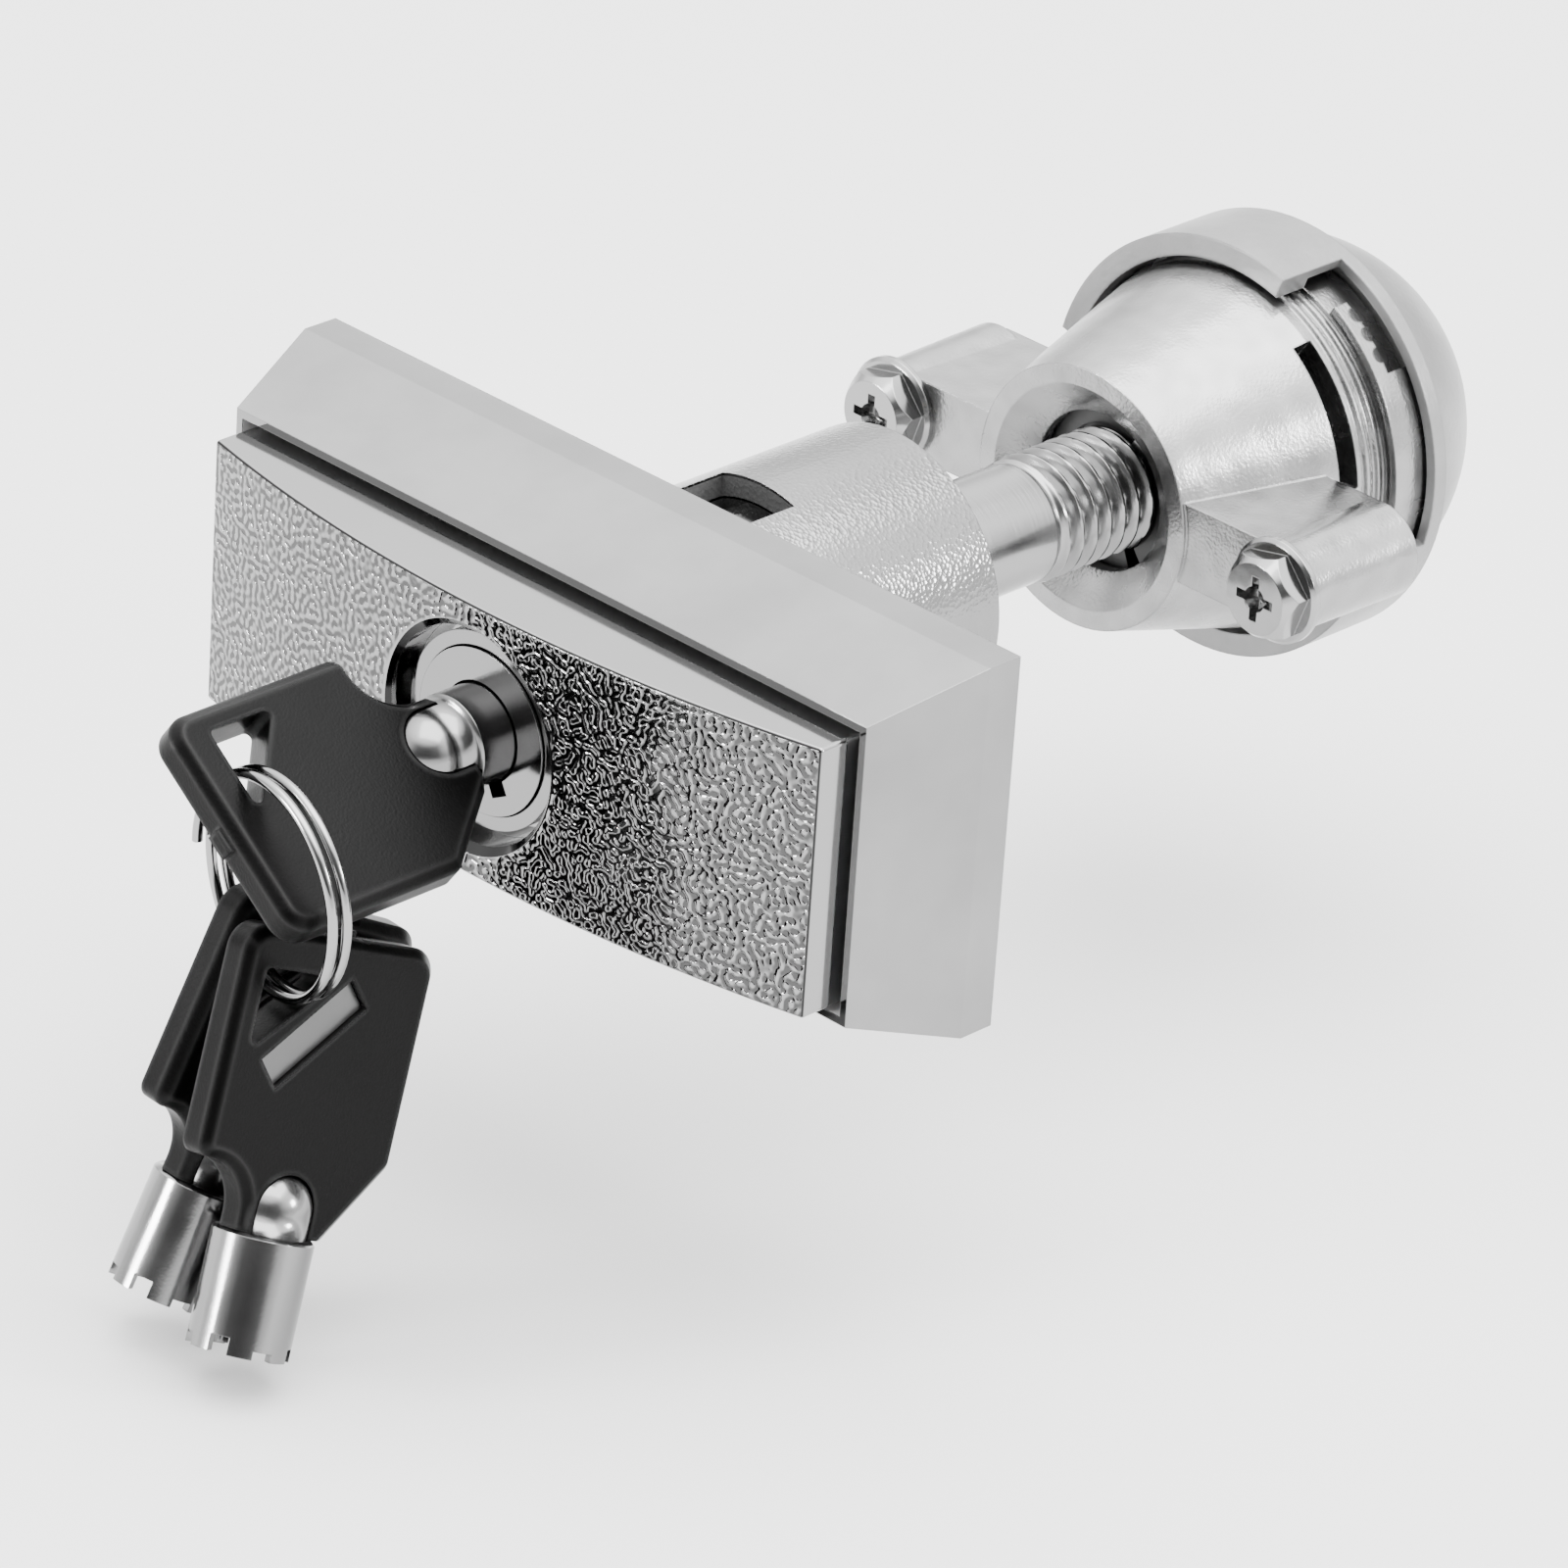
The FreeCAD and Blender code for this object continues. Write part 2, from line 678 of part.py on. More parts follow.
def rounded_wire(corners, y):
    """Closed wire in the plane of a given Y through (x, z, radius) corners, rounded by arcs."""
    count = len(corners)
    edges = []
    starts = []
    ends = []
    for i, (x, z, r) in enumerate(corners):
        at = V(x, y, z)
        before = V(corners[i - 1][0], y, corners[i - 1][1]) - at
        after = V(corners[(i + 1) % count][0], y, corners[(i + 1) % count][1]) - at
        half = before.getAngle(after) / 2
        reach = r / math.tan(half)
        before.normalize()
        after.normalize()
        starts.append(at + before * reach)
        ends.append(at + after * reach)
        if r > 0:
            inward = (before + after).normalize()
            middle = at + inward * (r / math.sin(half) - r)
            edges.append(Part.Arc(starts[i], middle, ends[i]).toShape())
    for i in range(count):
        edges.append(Part.makeLine(ends[i], starts[(i + 1) % count]))
    return Part.Wire(Part.__sortEdges__(edges))


bow_corners = [
    (bow_foot_left, 0, 0), (bow_foot_right, 0, 0),
    (bow_right, bow_side_right, 1.4), (bow_right, bow_len, 2.6),
    (bow_left, bow_len, 2.6), (bow_left, bow_side_left, 1.4),
    (bow_foot_left, bow_side_left, 5.0),
]


def slanted_box(length, width, y0, y1):
    plate = Part.makeBox(length, y1 - y0, width, V(-length / 2, y0, -width / 2))
    plate.rotate(V(0, 0, 0), V(0, 1, 0), -recess_angle)
    plate.translate(V(recess_s, 0, recess_w))
    return plate


def ring_hole():
    """Three-cornered hole that the ring's wire passes through."""
    s0 = bow_left + 2.5
    w0 = bow_len - 3.7
    outline = [
        (s0, w0, hole_round), (s0, w0 - hole_down, hole_round), (s0 + hole_across, w0, hole_round),
    ]
    return Part.Face(rounded_wire(outline, -bow_t)).extrude(V(0, 2 * bow_t, 0))


def key_bow():
    body = Part.Face(rounded_wire(bow_corners, -bow_t / 2)).extrude(V(0, bow_t, 0))
    rims = [
        e for e in body.Edges
        if e.BoundBox.YLength < 0.01 and e.BoundBox.ZMax > 0.1
    ]
    body = body.makeChamfer(bow_bevel, rims).Solids[0]
    gap = 0.2
    bullet = Part.makeCylinder(bullet_r + gap, bullet_len + 1, V(0, 0, -1))
    nose = Part.makeSphere(bullet_r + gap, V(0, 0, bullet_len))
    recess = slanted_box(recess_len, recess_wide, -bow_t / 2 - 1, -bow_t / 2 + recess_depth)
    gate = Part.makeBox(2.4, 1.4, 1.0, V(-0.2, -0.7, bow_len - 0.4))
    return fused(body, gate).cut([bullet, nose, recess, ring_hole()])


def key_tang():
    """Bare metal plate at the floor of the bow's slanted recess."""
    rear = -bow_t / 2 + recess_depth
    return slanted_box(recess_len - 0.1, recess_wide - 0.1, rear - tang_t, rear)


def place(shape, origin, x_dir, z_dir):
    """Moves a key solid so that its X and Z axes take the given directions."""
    z = V(z_dir).normalize()
    x = (V(x_dir) - z * V(x_dir).dot(z)).normalize()
    y = z.cross(x)
    moved = shape.copy()
    target = FreeCAD.Placement(origin, FreeCAD.Rotation(x, y, z, "ZXY"))
    moved.Placement = target.multiply(moved.Placement)
    return moved


key_rear = tube_tip - tube_len
key_across = polar(1.0, key_roll)
key_up = V(0, -1, 0)


def key_place(shape):
    return place(shape, V(0, key_rear, 0), key_across, key_up)


def key_point(s, w):
    """World place of a point in the inserted key's middle plane."""
    return V(0, key_rear, 0) + key_across * s + key_up * w


# Key ring, hanging in the inserted key's hole, and the two spare keys on it

ring_across = V(0.988, -0.155, 0)
ring_up = V(-0.002, -0.013, 1.0)
ring_axis = ring_across.cross(ring_up)
ring_at_key = 123.2
spare_wire_spots = ((spare_1_wire_s, spare_1_wire_w), (spare_2_wire_s, spare_2_wire_w))
spare_angles = (-80.45, -112.4)
spare_across = (V(0.1084, 0.9104, -0.3992), V(0.0855, 0.8803, -0.4666))
spare_up = (V(-0.1705, 0.4126, 0.8948), V(0.0183, 0.4669, 0.8841))


def ring_point(degrees, centre):
    a = math.radians(degrees)
    return centre + ring_across * (ring_centreline_r * math.cos(a)) + ring_up * (ring_centreline_r * math.sin(a))


ring_centre = key_point(key_wire_s, key_wire_w) - ring_point(ring_at_key, V(0, 0, 0))


def ring_start():
    return ring_centre - ring_axis * ring_step


def key_ring():
    return coil(ring_start(), ring_axis, ring_across * -1, ring_centreline_r, ring_step, 2, ring_wire_r)


def ring_gap():
    """Least gap of the ring's wire to itself, measured on points along it."""
    turns = 2
    count = 240
    points = []
    for i in range(count * turns + 1):
        a = 2 * math.pi * i / count
        across = ring_across * (-ring_centreline_r * math.cos(a))
        along = ring_axis.cross(ring_across * -1) * (ring_centreline_r * math.sin(a))
        points.append(ring_start() + across + along + ring_axis * (ring_step * i / count))
    least = min(
        points[i].distanceToPoint(points[j])
        for i in range(0, len(points), 4)
        for j in range(i + count // 2, len(points), 2)
    )
    return least - 2 * ring_wire_r


def spare_place(shape, index):
    z = V(spare_up[index]).normalize()
    x = V(spare_across[index])
    x = (x - z * x.dot(z)).normalize()
    wire = ring_point(spare_angles[index], ring_centre)
    across, up = spare_wire_spots[index]
    origin = wire - x * across - z * up
    return place(shape, origin, x, z)


# Output

def write(name, shape):
    shape.exportStep("parts/" + name + ".step")
    print(name, "valid" if shape.isValid() else "INVALID", "solids", len(shape.Solids),
          "volume", round(shape.Volume, 1))


def main():
    os.makedirs("parts", exist_ok=True)
    write("bezel_housing", bezel_housing())
    write("handle_block", handle_block())
    write("lock_shell", lock_shell())
    write("lock_barrel", lock_barrel())
    write("lock_rotor", lock_rotor())
    write("key_pins", key_pins())
    write("pin_block", pin_block())
    write("driver_pins", driver_pins())
    write("pin_springs", pin_springs())
    write("barrel_pin", barrel_pin())
    write("lock_cam", lock_cam())
    write("latch_bolt", latch_bolt())
    write("spring_seat", spring_seat())
    write("pop_spring", pop_spring())
    write("stud", stud())
    write("stud_bush", stud_bush())
    write("retaining_ring", retaining_ring())
    write("nut_housing", nut_housing())
    for number, angle in enumerate((0, 120, 240), start=1):
        write("nut_segment_%d" % number, nut_segment(angle))
    write("segment_guide", segment_guide())
    write("thrust_washer", thrust_washer())
    write("nut_spring", nut_spring())
    write("ear_screws", ear_screws())
    write("rear_cap", rear_cap())
    write("key_tube", key_place(Part.makeCompound([key_tube(), key_tang()])))
    write("key_bow", key_place(key_bow()))
    write("key_ring", key_ring())
    for index in (0, 1):
        metal = Part.makeCompound([key_tube(), key_tang()])
        write("spare_key_tube_%d" % (index + 1), spare_place(metal, index))
        write("spare_key_bow_%d" % (index + 1), spare_place(key_bow(), index))
    print("least gap of the key ring to itself, mm:", round(ring_gap(), 3))


main()
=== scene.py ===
"""Looks of a pop-out T-handle lock with a tubular pin cylinder, its keys and its split nut.

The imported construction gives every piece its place. This script adds the stud's thread, the nut's
inner threads and coil, and gives each piece the finish of the real one. Lengths are in metres unless
a name ends in _mm, Y runs to the rear along the stud, X along the handle and Z up.
"""

import logging
import math
from collections.abc import Callable
from dataclasses import dataclass, field
from enum import Enum

import bmesh
import bpy
import numpy as np
from mathutils import Matrix, Vector


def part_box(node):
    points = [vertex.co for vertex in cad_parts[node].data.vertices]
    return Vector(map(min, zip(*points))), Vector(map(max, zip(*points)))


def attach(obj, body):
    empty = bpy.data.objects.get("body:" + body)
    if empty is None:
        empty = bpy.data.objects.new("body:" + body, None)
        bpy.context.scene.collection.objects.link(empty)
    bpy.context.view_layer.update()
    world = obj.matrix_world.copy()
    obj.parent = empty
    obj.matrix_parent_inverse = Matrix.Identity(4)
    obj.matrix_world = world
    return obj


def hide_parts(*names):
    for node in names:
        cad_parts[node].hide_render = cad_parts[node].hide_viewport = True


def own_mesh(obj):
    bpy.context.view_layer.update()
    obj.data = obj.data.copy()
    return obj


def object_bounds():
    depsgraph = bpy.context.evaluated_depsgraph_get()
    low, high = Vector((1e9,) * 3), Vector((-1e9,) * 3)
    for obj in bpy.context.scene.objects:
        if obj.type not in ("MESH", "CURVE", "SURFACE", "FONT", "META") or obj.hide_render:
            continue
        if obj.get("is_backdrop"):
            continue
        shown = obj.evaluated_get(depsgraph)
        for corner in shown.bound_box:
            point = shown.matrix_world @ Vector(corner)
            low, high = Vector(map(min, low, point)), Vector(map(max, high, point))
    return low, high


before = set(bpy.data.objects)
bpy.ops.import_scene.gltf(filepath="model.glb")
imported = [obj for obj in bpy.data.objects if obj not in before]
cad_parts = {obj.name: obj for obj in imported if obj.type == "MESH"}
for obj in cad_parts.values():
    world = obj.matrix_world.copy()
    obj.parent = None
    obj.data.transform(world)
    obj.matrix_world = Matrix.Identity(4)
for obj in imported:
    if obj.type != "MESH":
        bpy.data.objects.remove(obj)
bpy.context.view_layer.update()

MM = 0.001
# Faces that meet at more than this angle keep a sharp edge, on new pieces and on copied ones
SHARP_ANGLE = math.radians(32)
COPY_SHARP_ANGLE = math.radians(25)
# Vertices nearer than a thousandth of a millimetre are one
WELD_GAP = 1e-6
# Where a Mix node keeps the two colours that it mixes, and its result
MIX_FIRST, MIX_SECOND, MIX_RESULT = 6, 7, 2
log = logging.getLogger("lock")

Tree = bpy.types.NodeTree
Socket = bpy.types.NodeSocket
Node = bpy.types.Node
Piece = bpy.types.Object
Colour = tuple[float, float, float, float]
Stops = tuple[tuple[float, float], ...]


# Small tools

def linear(code: str) -> Colour:
    """Turns an sRGB hex value into a linear colour, by the sRGB standard's own curve.

    Args:
        code: six hex digits, with or without a leading hash.

    Returns:
        Red, green, blue and an alpha of one.
    """
    digits = code.lstrip("#")
    parts = [int(digits[i:i + 2], 16) / 255 for i in (0, 2, 4)]
    bent = [c / 12.92 if c <= 0.04045 else ((c + 0.055) / 1.055) ** 2.4 for c in parts]
    return bent[0], bent[1], bent[2], 1.0


def add(tree: Tree, kind: str, inputs: dict | None = None, **settings) -> Node:
    """Adds one node with its settings, values and links.

    Args:
        tree: the node tree that the node goes into.
        kind: the node's type without the word ShaderNode.
        inputs: socket name or number to a value, or to the output socket that feeds it.
        settings: the node's own properties.

    Returns:
        The new node.
    """
    node = tree.nodes.new("ShaderNode" + kind)
    for name, value in settings.items():
        setattr(node, name, value)
    for key, value in (inputs or {}).items():
        if isinstance(value, Socket):
            tree.links.new(value, node.inputs[key])
        else:
            node.inputs[key].default_value = value
    return node


def from_axis(tree: Tree, place: Socket) -> Socket:
    """Distance of the object coordinates from the lock's axis, Y."""
    flat = add(tree, "VectorMath", {0: place, 1: (1.0, 0.0, 1.0)}, operation="MULTIPLY")
    return add(tree, "VectorMath", {0: flat.outputs[0]}, operation="LENGTH").outputs["Value"]


def grid_piece(name: str, points: np.ndarray, around: bool) -> Piece:
    """Makes a smooth mesh object from a grid of points, with a quad between each four neighbours.

    Args:
        name: the piece's name.
        points: array of shape (rows, columns, 3).
        around: whether each row is a ring. The last column then joins the first one, and the first
            and last rows are closed with a cap.

    Returns:
        The new object, linked into the scene at the origin.
    """
    rows, columns, _ = points.shape
    index = np.arange(rows * columns).reshape(rows, columns)
    a = index[:-1, :] if around else index[:-1, :-1]
    b = index[1:, :] if around else index[1:, :-1]
    c = np.roll(index, -1, axis=1)[1:, :] if around else index[1:, 1:]
    d = np.roll(index, -1, axis=1)[:-1, :] if around else index[:-1, 1:]
    faces = np.stack([a, b, c, d], axis=-1).reshape(-1, 4).tolist()
    if around:
        faces += [index[0].tolist(), index[-1][::-1].tolist()]
    mesh = bpy.data.meshes.new(name)
    mesh.from_pydata(points.reshape(-1, 3).tolist(), [], faces)
    mesh.polygons.foreach_set("use_smooth", np.ones(len(mesh.polygons), bool))
    mesh.set_sharp_from_angle(angle=SHARP_ANGLE)
    mesh.update()
    piece = bpy.data.objects.new(name, mesh)
    bpy.context.scene.collection.objects.link(piece)
    return piece


def smoothstep(t: np.ndarray) -> np.ndarray:
    """Rises from 0 to 1 with level ends as t goes from 0 to 1: three t squared less two t cubed.

    Args:
        t: any numbers; those outside 0 to 1 count as 0 or 1.

    Returns:
        The risen numbers, in the same shape.
    """
    t = np.clip(t, 0, 1)
    return t * t * (3 - 2 * t)


# Finishes

class Pattern(Enum):
    """Kinds of relief that a finish can carry."""

    GRAIN = "grain"
    WRINKLE = "wrinkle"
    RINGS = "rings"
    WAVES = "waves"
    DIMPLES = "dimples"


# How many finer layers the plain noise patterns carry
NOISE_DETAIL = {Pattern.GRAIN: 1.0, Pattern.WAVES: 0.0}
# How much a lathe mark changes across the axis, as a share of its change along the axis
LATHE_DRIFT = 0.06
# Worms that lie side by side in one cell of the wrinkle, and where a worm's flank starts and ends
WORMS_A_CELL = 1.9
WORM_FLANK = (0.40, 0.66)
# Detail of the clouds in the gloss, and where their noise, from 0 to 1, has most of its values
CLOUD_DETAIL = 3.0
CLOUD_RANGE = (0.3, 0.7)
# The same for the haze in a plated face, with its coarseness
HAZE_DETAIL = 4.0
HAZE_COARSENESS = 0.6
HAZE_RANGE = (0.38, 0.62)
# Cosine between a corner's rounded normal and its face, from no painted highlight to the full one
CORNER_HIGHLIGHT_RANGE = (0.99, 0.92)
# Rays that round each corner
BEVEL_SAMPLES = 4


@dataclass(frozen=True)
class Relief:
    """One layer of surface relief.

    Attributes:
        pattern: the kind of relief.
        size_mm: the size of one element as it is drawn.
        depth_mm: how far the element stands up.
        everywhere: whether it also lies outside the finish's mask.
    """

    pattern: Pattern
    size_mm: float
    depth_mm: float
    everywhere: bool = False


@dataclass(frozen=True)
class Finish:
    """A material as it is made: what it is, its colour, gloss and relief.

    Attributes:
        name: the material's name.
        colour: sRGB hex value.
        metallic: 1 for bare or plated metal, 0 for plastic.
        roughness: middle value of the roughness.
        roughness_play: how much cloudy handling and wear change the roughness.
        cloud_mm: size of those clouds, and of the haze's.
        edge_mm: radius that real corners have.
        sheen_level: strength of a plastic's reflection, 0.5 being usual.
        groove_shade_colour: painted shade, a darker colour in the low places of the first relief, or nothing
            for one colour.
        corner_highlight_colour: painted highlight, a paler colour on the rounded corners, or nothing.
        haze_colour: colour of the faint clouds in a plated face, or nothing.
        reliefs: layers of relief, each laid over the ones before it.
    """

    name: str
    colour: str
    metallic: float = 1.0
    roughness: float = 0.2
    roughness_play: float = 0.04
    cloud_mm: float = 9.0
    edge_mm: float = 0.15
    sheen_level: float = 0.5
    groove_shade_colour: str = ""
    corner_highlight_colour: str = ""
    haze_colour: str = ""
    reliefs: tuple[Relief, ...] = ()

    def mask(self, tree: Tree, place: Socket) -> Socket | None:
        """Where the reliefs lie, or None for everywhere."""
        return None

    def height(self, tree: Tree, place: Socket, relief: Relief) -> Socket:
        """Height of one relief layer.

        Grain and waves are plain noise. Dimples are craters that touch: the square of the distance
        from the nearest crater's middle. Rings are lathe marks: noise that changes along the axis.
        The wrinkle is short worms of one width that run every way: a Gabor noise seen along Y.

        Args:
            tree: the material's node tree.
            place: the object coordinates.
            relief: the layer.

        Returns:
            A socket that goes from about 0 to 1.
        """
        scale = 1 / (relief.size_mm * MM)
        if relief.pattern in NOISE_DETAIL:
            noise = add(tree, "TexNoise", {"Vector": place, "Scale": scale,
                                           "Detail": NOISE_DETAIL[relief.pattern]})
            return noise.outputs["Fac"]
        if relief.pattern is Pattern.DIMPLES:
            cells = add(tree, "TexVoronoi", {"Vector": place, "Scale": scale}, feature="F1")
            return add(tree, "Math", {0: cells.outputs["Distance"], 1: 2.0}, operation="POWER").outputs[0]
        if relief.pattern is Pattern.RINGS:
            across = scale * LATHE_DRIFT
            squeeze = add(tree, "Mapping", {"Vector": place, "Scale": (across, scale, across)})
            noise = add(tree, "TexNoise", {"Vector": squeeze.outputs[0], "Scale": 1.0, "Detail": 1.0})
            return noise.outputs["Fac"]
        axes = add(tree, "SeparateXYZ", {0: place})
        flat = add(tree, "CombineXYZ", {0: axes.outputs[0], 1: axes.outputs[2]})
        worms = add(tree, "TexGabor", {"Vector": flat.outputs[0], "Scale": scale / WORMS_A_CELL,
                                       "Frequency": WORMS_A_CELL, "Anisotropy": 0.0}, gabor_type="2D")
        step = add(tree, "MapRange", {"Value": worms.outputs["Value"], "From Min": WORM_FLANK[0],
                                      "From Max": WORM_FLANK[1]}, interpolation_type="SMOOTHSTEP")
        return step.outputs[0]

    def material(self) -> bpy.types.Material:
        """Builds the material, or returns it if it exists.

        The roughness plays in soft clouds, corners are rounded, and each relief is a bump laid over
        the ones before it.

        Returns:
            The finished material.
        """
        known = bpy.data.materials.get(self.name)
        if known:
            return known
        made = bpy.data.materials.new(self.name)
        made.use_nodes = True
        tree = made.node_tree
        tree.nodes.clear()
        place = add(tree, "TexCoord").outputs["Object"]
        cloud = add(tree, "TexNoise", {"Vector": place, "Scale": 1 / (self.cloud_mm * MM),
                                       "Detail": CLOUD_DETAIL})
        rough = add(tree, "MapRange", {"Value": cloud.outputs["Fac"], "From Min": CLOUD_RANGE[0],
                                       "From Max": CLOUD_RANGE[1],
                                       "To Min": self.roughness - self.roughness_play,
                                       "To Max": self.roughness + self.roughness_play})
        normal = add(tree, "Bevel", {"Radius": self.edge_mm * MM}, samples=BEVEL_SAMPLES).outputs[0]
        where = self.mask(tree, place)
        colour = self.colours(tree, place, where, normal)
        for relief in self.reliefs:
            height = self.height(tree, place, relief)
            if where is not None and not relief.everywhere:
                height = add(tree, "Math", {0: height, 1: where}, operation="MULTIPLY").outputs[0]
            normal = add(tree, "Bump", {"Strength": 1.0, "Distance": relief.depth_mm * MM,
                                        "Height": height, "Normal": normal}).outputs[0]
        shader = add(tree, "BsdfPrincipled", {
            "Base Color": colour, "Metallic": self.finish_metallic(tree, place),
            "Specular IOR Level": self.sheen_level,
            "Roughness": self.finish_roughness(tree, place, rough.outputs[0], where), "Normal": normal,
        })
        add(tree, "OutputMaterial", {"Surface": shader.outputs[0]})
        return made

    def colours(self, tree: Tree, place: Socket, where: Socket | None, rounded: Socket) -> Socket | Colour:
        """Colour of the finish, with haze, painted shade in the grooves and a painted highlight on the
        corners where it has them.

        The haze follows a cloudy noise. The painted shade's share is the mask times what the relief lacks
        of its full height. The painted highlight's share grows with the angle between the rounded normal and
        the face's own.

        Args:
            tree: the material's node tree.
            place: the object coordinates.
            where: the relief's mask, or None for everywhere.
            rounded: the normal with rounded corners.

        Returns:
            One plain colour, or the socket of a varied one.
        """
        colour = linear(self.colour)
        if self.haze_colour:
            cloud = add(tree, "TexNoise", {"Vector": place, "Scale": 1 / (self.cloud_mm * MM),
                                           "Detail": HAZE_DETAIL, "Roughness": HAZE_COARSENESS})
            haze = add(tree, "MapRange", {"Value": cloud.outputs["Fac"], "From Min": HAZE_RANGE[0],
                                          "From Max": HAZE_RANGE[1]}).outputs[0]
            colour = add(tree, "Mix", {0: haze, MIX_FIRST: colour, MIX_SECOND: linear(self.haze_colour)},
                         data_type="RGBA").outputs[MIX_RESULT]
        # Painted shade: the low places of the first relief are darker
        if self.groove_shade_colour:
            low = add(tree, "Math", {0: 1.0, 1: self.height(tree, place, self.reliefs[0])},
                      operation="SUBTRACT").outputs[0]
            if where is not None:
                low = add(tree, "Math", {0: low, 1: where}, operation="MULTIPLY").outputs[0]
            colour = add(tree, "Mix", {0: low, MIX_FIRST: colour, MIX_SECOND: linear(self.groove_shade_colour)},
                         data_type="RGBA").outputs[MIX_RESULT]
        # Painted highlight: the rounded corners are paler
        if self.corner_highlight_colour:
            face = add(tree, "NewGeometry").outputs["True Normal"]
            near = add(tree, "VectorMath", {0: rounded, 1: face}, operation="DOT_PRODUCT")
            corner_highlight = add(tree, "MapRange", {"Value": near.outputs["Value"], "From Min": CORNER_HIGHLIGHT_RANGE[0],
                                          "From Max": CORNER_HIGHLIGHT_RANGE[1]}).outputs[0]
            colour = add(tree, "Mix", {0: corner_highlight, MIX_FIRST: colour, MIX_SECOND: linear(self.corner_highlight_colour)},
                         data_type="RGBA").outputs[MIX_RESULT]
        return colour

    def finish_roughness(self, tree: Tree, place: Socket, rough: Socket, where: Socket | None) -> Socket:
        """Last word on the roughness, for finishes that differ from place to place."""
        return rough

    def finish_metallic(self, tree: Tree, place: Socket) -> Socket | float:
        """How metallic the surface is, which a finish may vary from place to place."""
        return self.metallic


@dataclass(frozen=True)
class BlastedCollar(Finish):
    """Polished chrome in front, with the collar behind the flange left as bead-blasted casting.

    Attributes:
        blast_from_mm: place along Y where the blasting starts.
        blast_fade_mm: how far it takes to reach its full depth.
        blast_roughness: what the blasting and the recess add to the roughness.
        recess_half_mm: half the width and half the height of the handle's recess.
        recess_y_mm: the recess's front end and floor along Y.
        recess_light_colour: painted light, a pale colour in the recess in place of its shade.
        bore_r_mm: radius inside which the collar is painted dark as shade, just under its outer face.
        bore_shade_colour: colour of that painted shade, in the bore and on the window's walls.
        painted_tone_metallic: how metallic the places with painted light and shade look.
    """

    blast_from_mm: float = -0.5
    blast_fade_mm: float = 0.8
    blast_roughness: float = 0.09
    recess_half_mm: tuple[float, float] = (40.8, 14.45)
    recess_y_mm: tuple[float, float] = (-15.4, -1.0)
    recess_light_colour: str = "#C4C4C4"
    bore_r_mm: float = 14.6
    bore_shade_colour: str = "#555555"
    painted_tone_metallic: float = 0.15

    def recess(self, tree: Tree, place: Socket) -> Socket:
        """Tells whether a place is in the handle's recess, where the polishing wheel doesn't reach and where
        a pale colour is painted as light in place of its shade.

        Args:
            tree: the material's node tree.
            place: the object coordinates.

        Returns:
            One inside the recess's width, height and depth, zero elsewhere.
        """
        axes = add(tree, "SeparateXYZ", {0: place})
        inside = None
        for number, half in zip((0, 2), self.recess_half_mm):
            size = add(tree, "Math", {0: axes.outputs[number]}, operation="ABSOLUTE").outputs[0]
            within = add(tree, "Math", {0: size, 1: half * MM}, operation="LESS_THAN").outputs[0]
            inside = within if inside is None else add(
                tree, "Math", {0: inside, 1: within}, operation="MULTIPLY").outputs[0]
        for end, side in zip(self.recess_y_mm, ("GREATER_THAN", "LESS_THAN")):
            within = add(tree, "Math", {0: axes.outputs[1], 1: end * MM}, operation=side).outputs[0]
            inside = add(tree, "Math", {0: inside, 1: within}, operation="MULTIPLY").outputs[0]
        return inside

    def bore(self, tree: Tree, place: Socket) -> Socket:
        """Tells whether a place is in the collar's bore or window, behind the recess's floor.

        Args:
            tree: the material's node tree.
            place: the object coordinates.

        Returns:
            One nearer to the axis than the bore's radius and behind the floor, zero elsewhere.
        """
        inside = add(tree, "Math", {0: from_axis(tree, place), 1: self.bore_r_mm * MM},
                     operation="LESS_THAN").outputs[0]
        along = add(tree, "SeparateXYZ", {0: place}).outputs[1]
        behind = add(tree, "Math", {0: along, 1: self.recess_y_mm[1] * MM},
                     operation="GREATER_THAN").outputs[0]
        return add(tree, "Math", {0: inside, 1: behind}, operation="MULTIPLY").outputs[0]

    def mask(self, tree: Tree, place: Socket) -> Socket:
        """Places the blasting behind the flange.

        Args:
            tree: the material's node tree.
            place: the object coordinates.

        Returns:
            One behind the flange and zero in front of it, with a short fade between.
        """
        along = add(tree, "SeparateXYZ", {0: place}).outputs[1]
        start = self.blast_from_mm * MM
        return add(tree, "MapRange", {"Value": along, "From Min": start,
                                      "From Max": start + self.blast_fade_mm * MM}).outputs[0]

    def colours(self, tree: Tree, place: Socket, where: Socket | None, rounded: Socket) -> Socket | Colour:
        """Painted light and shade: a pale colour in the recess in place of its shade, a dark one in the
        collar's bore and window.

        Args:
            tree: the material's node tree.
            place: the object coordinates.
            where: the relief's mask.
            rounded: the normal with rounded corners.

        Returns:
            The socket of the colour.
        """
        colour = super().colours(tree, place, where, rounded)
        # Painted light in the recess and painted shade in the bore and window
        for inside, painted_tone in ((self.recess, self.recess_light_colour), (self.bore, self.bore_shade_colour)):
            colour = add(tree, "Mix", {0: inside(tree, place), MIX_FIRST: colour, MIX_SECOND: linear(painted_tone)},
                         data_type="RGBA").outputs[MIX_RESULT]
        return colour

    def finish_metallic(self, tree: Tree, place: Socket) -> Socket:
        """Low metallic where light and shade are painted, in the recess, the bore and the window; plate
        everywhere else.
        """
        painted_tone = add(tree, "Math", {0: self.recess(tree, place), 1: self.bore(tree, place)},
                   operation="MAXIMUM").outputs[0]
        return add(tree, "MapRange", {"Value": painted_tone, "To Min": self.metallic,
                                      "To Max": self.painted_tone_metallic}).outputs[0]

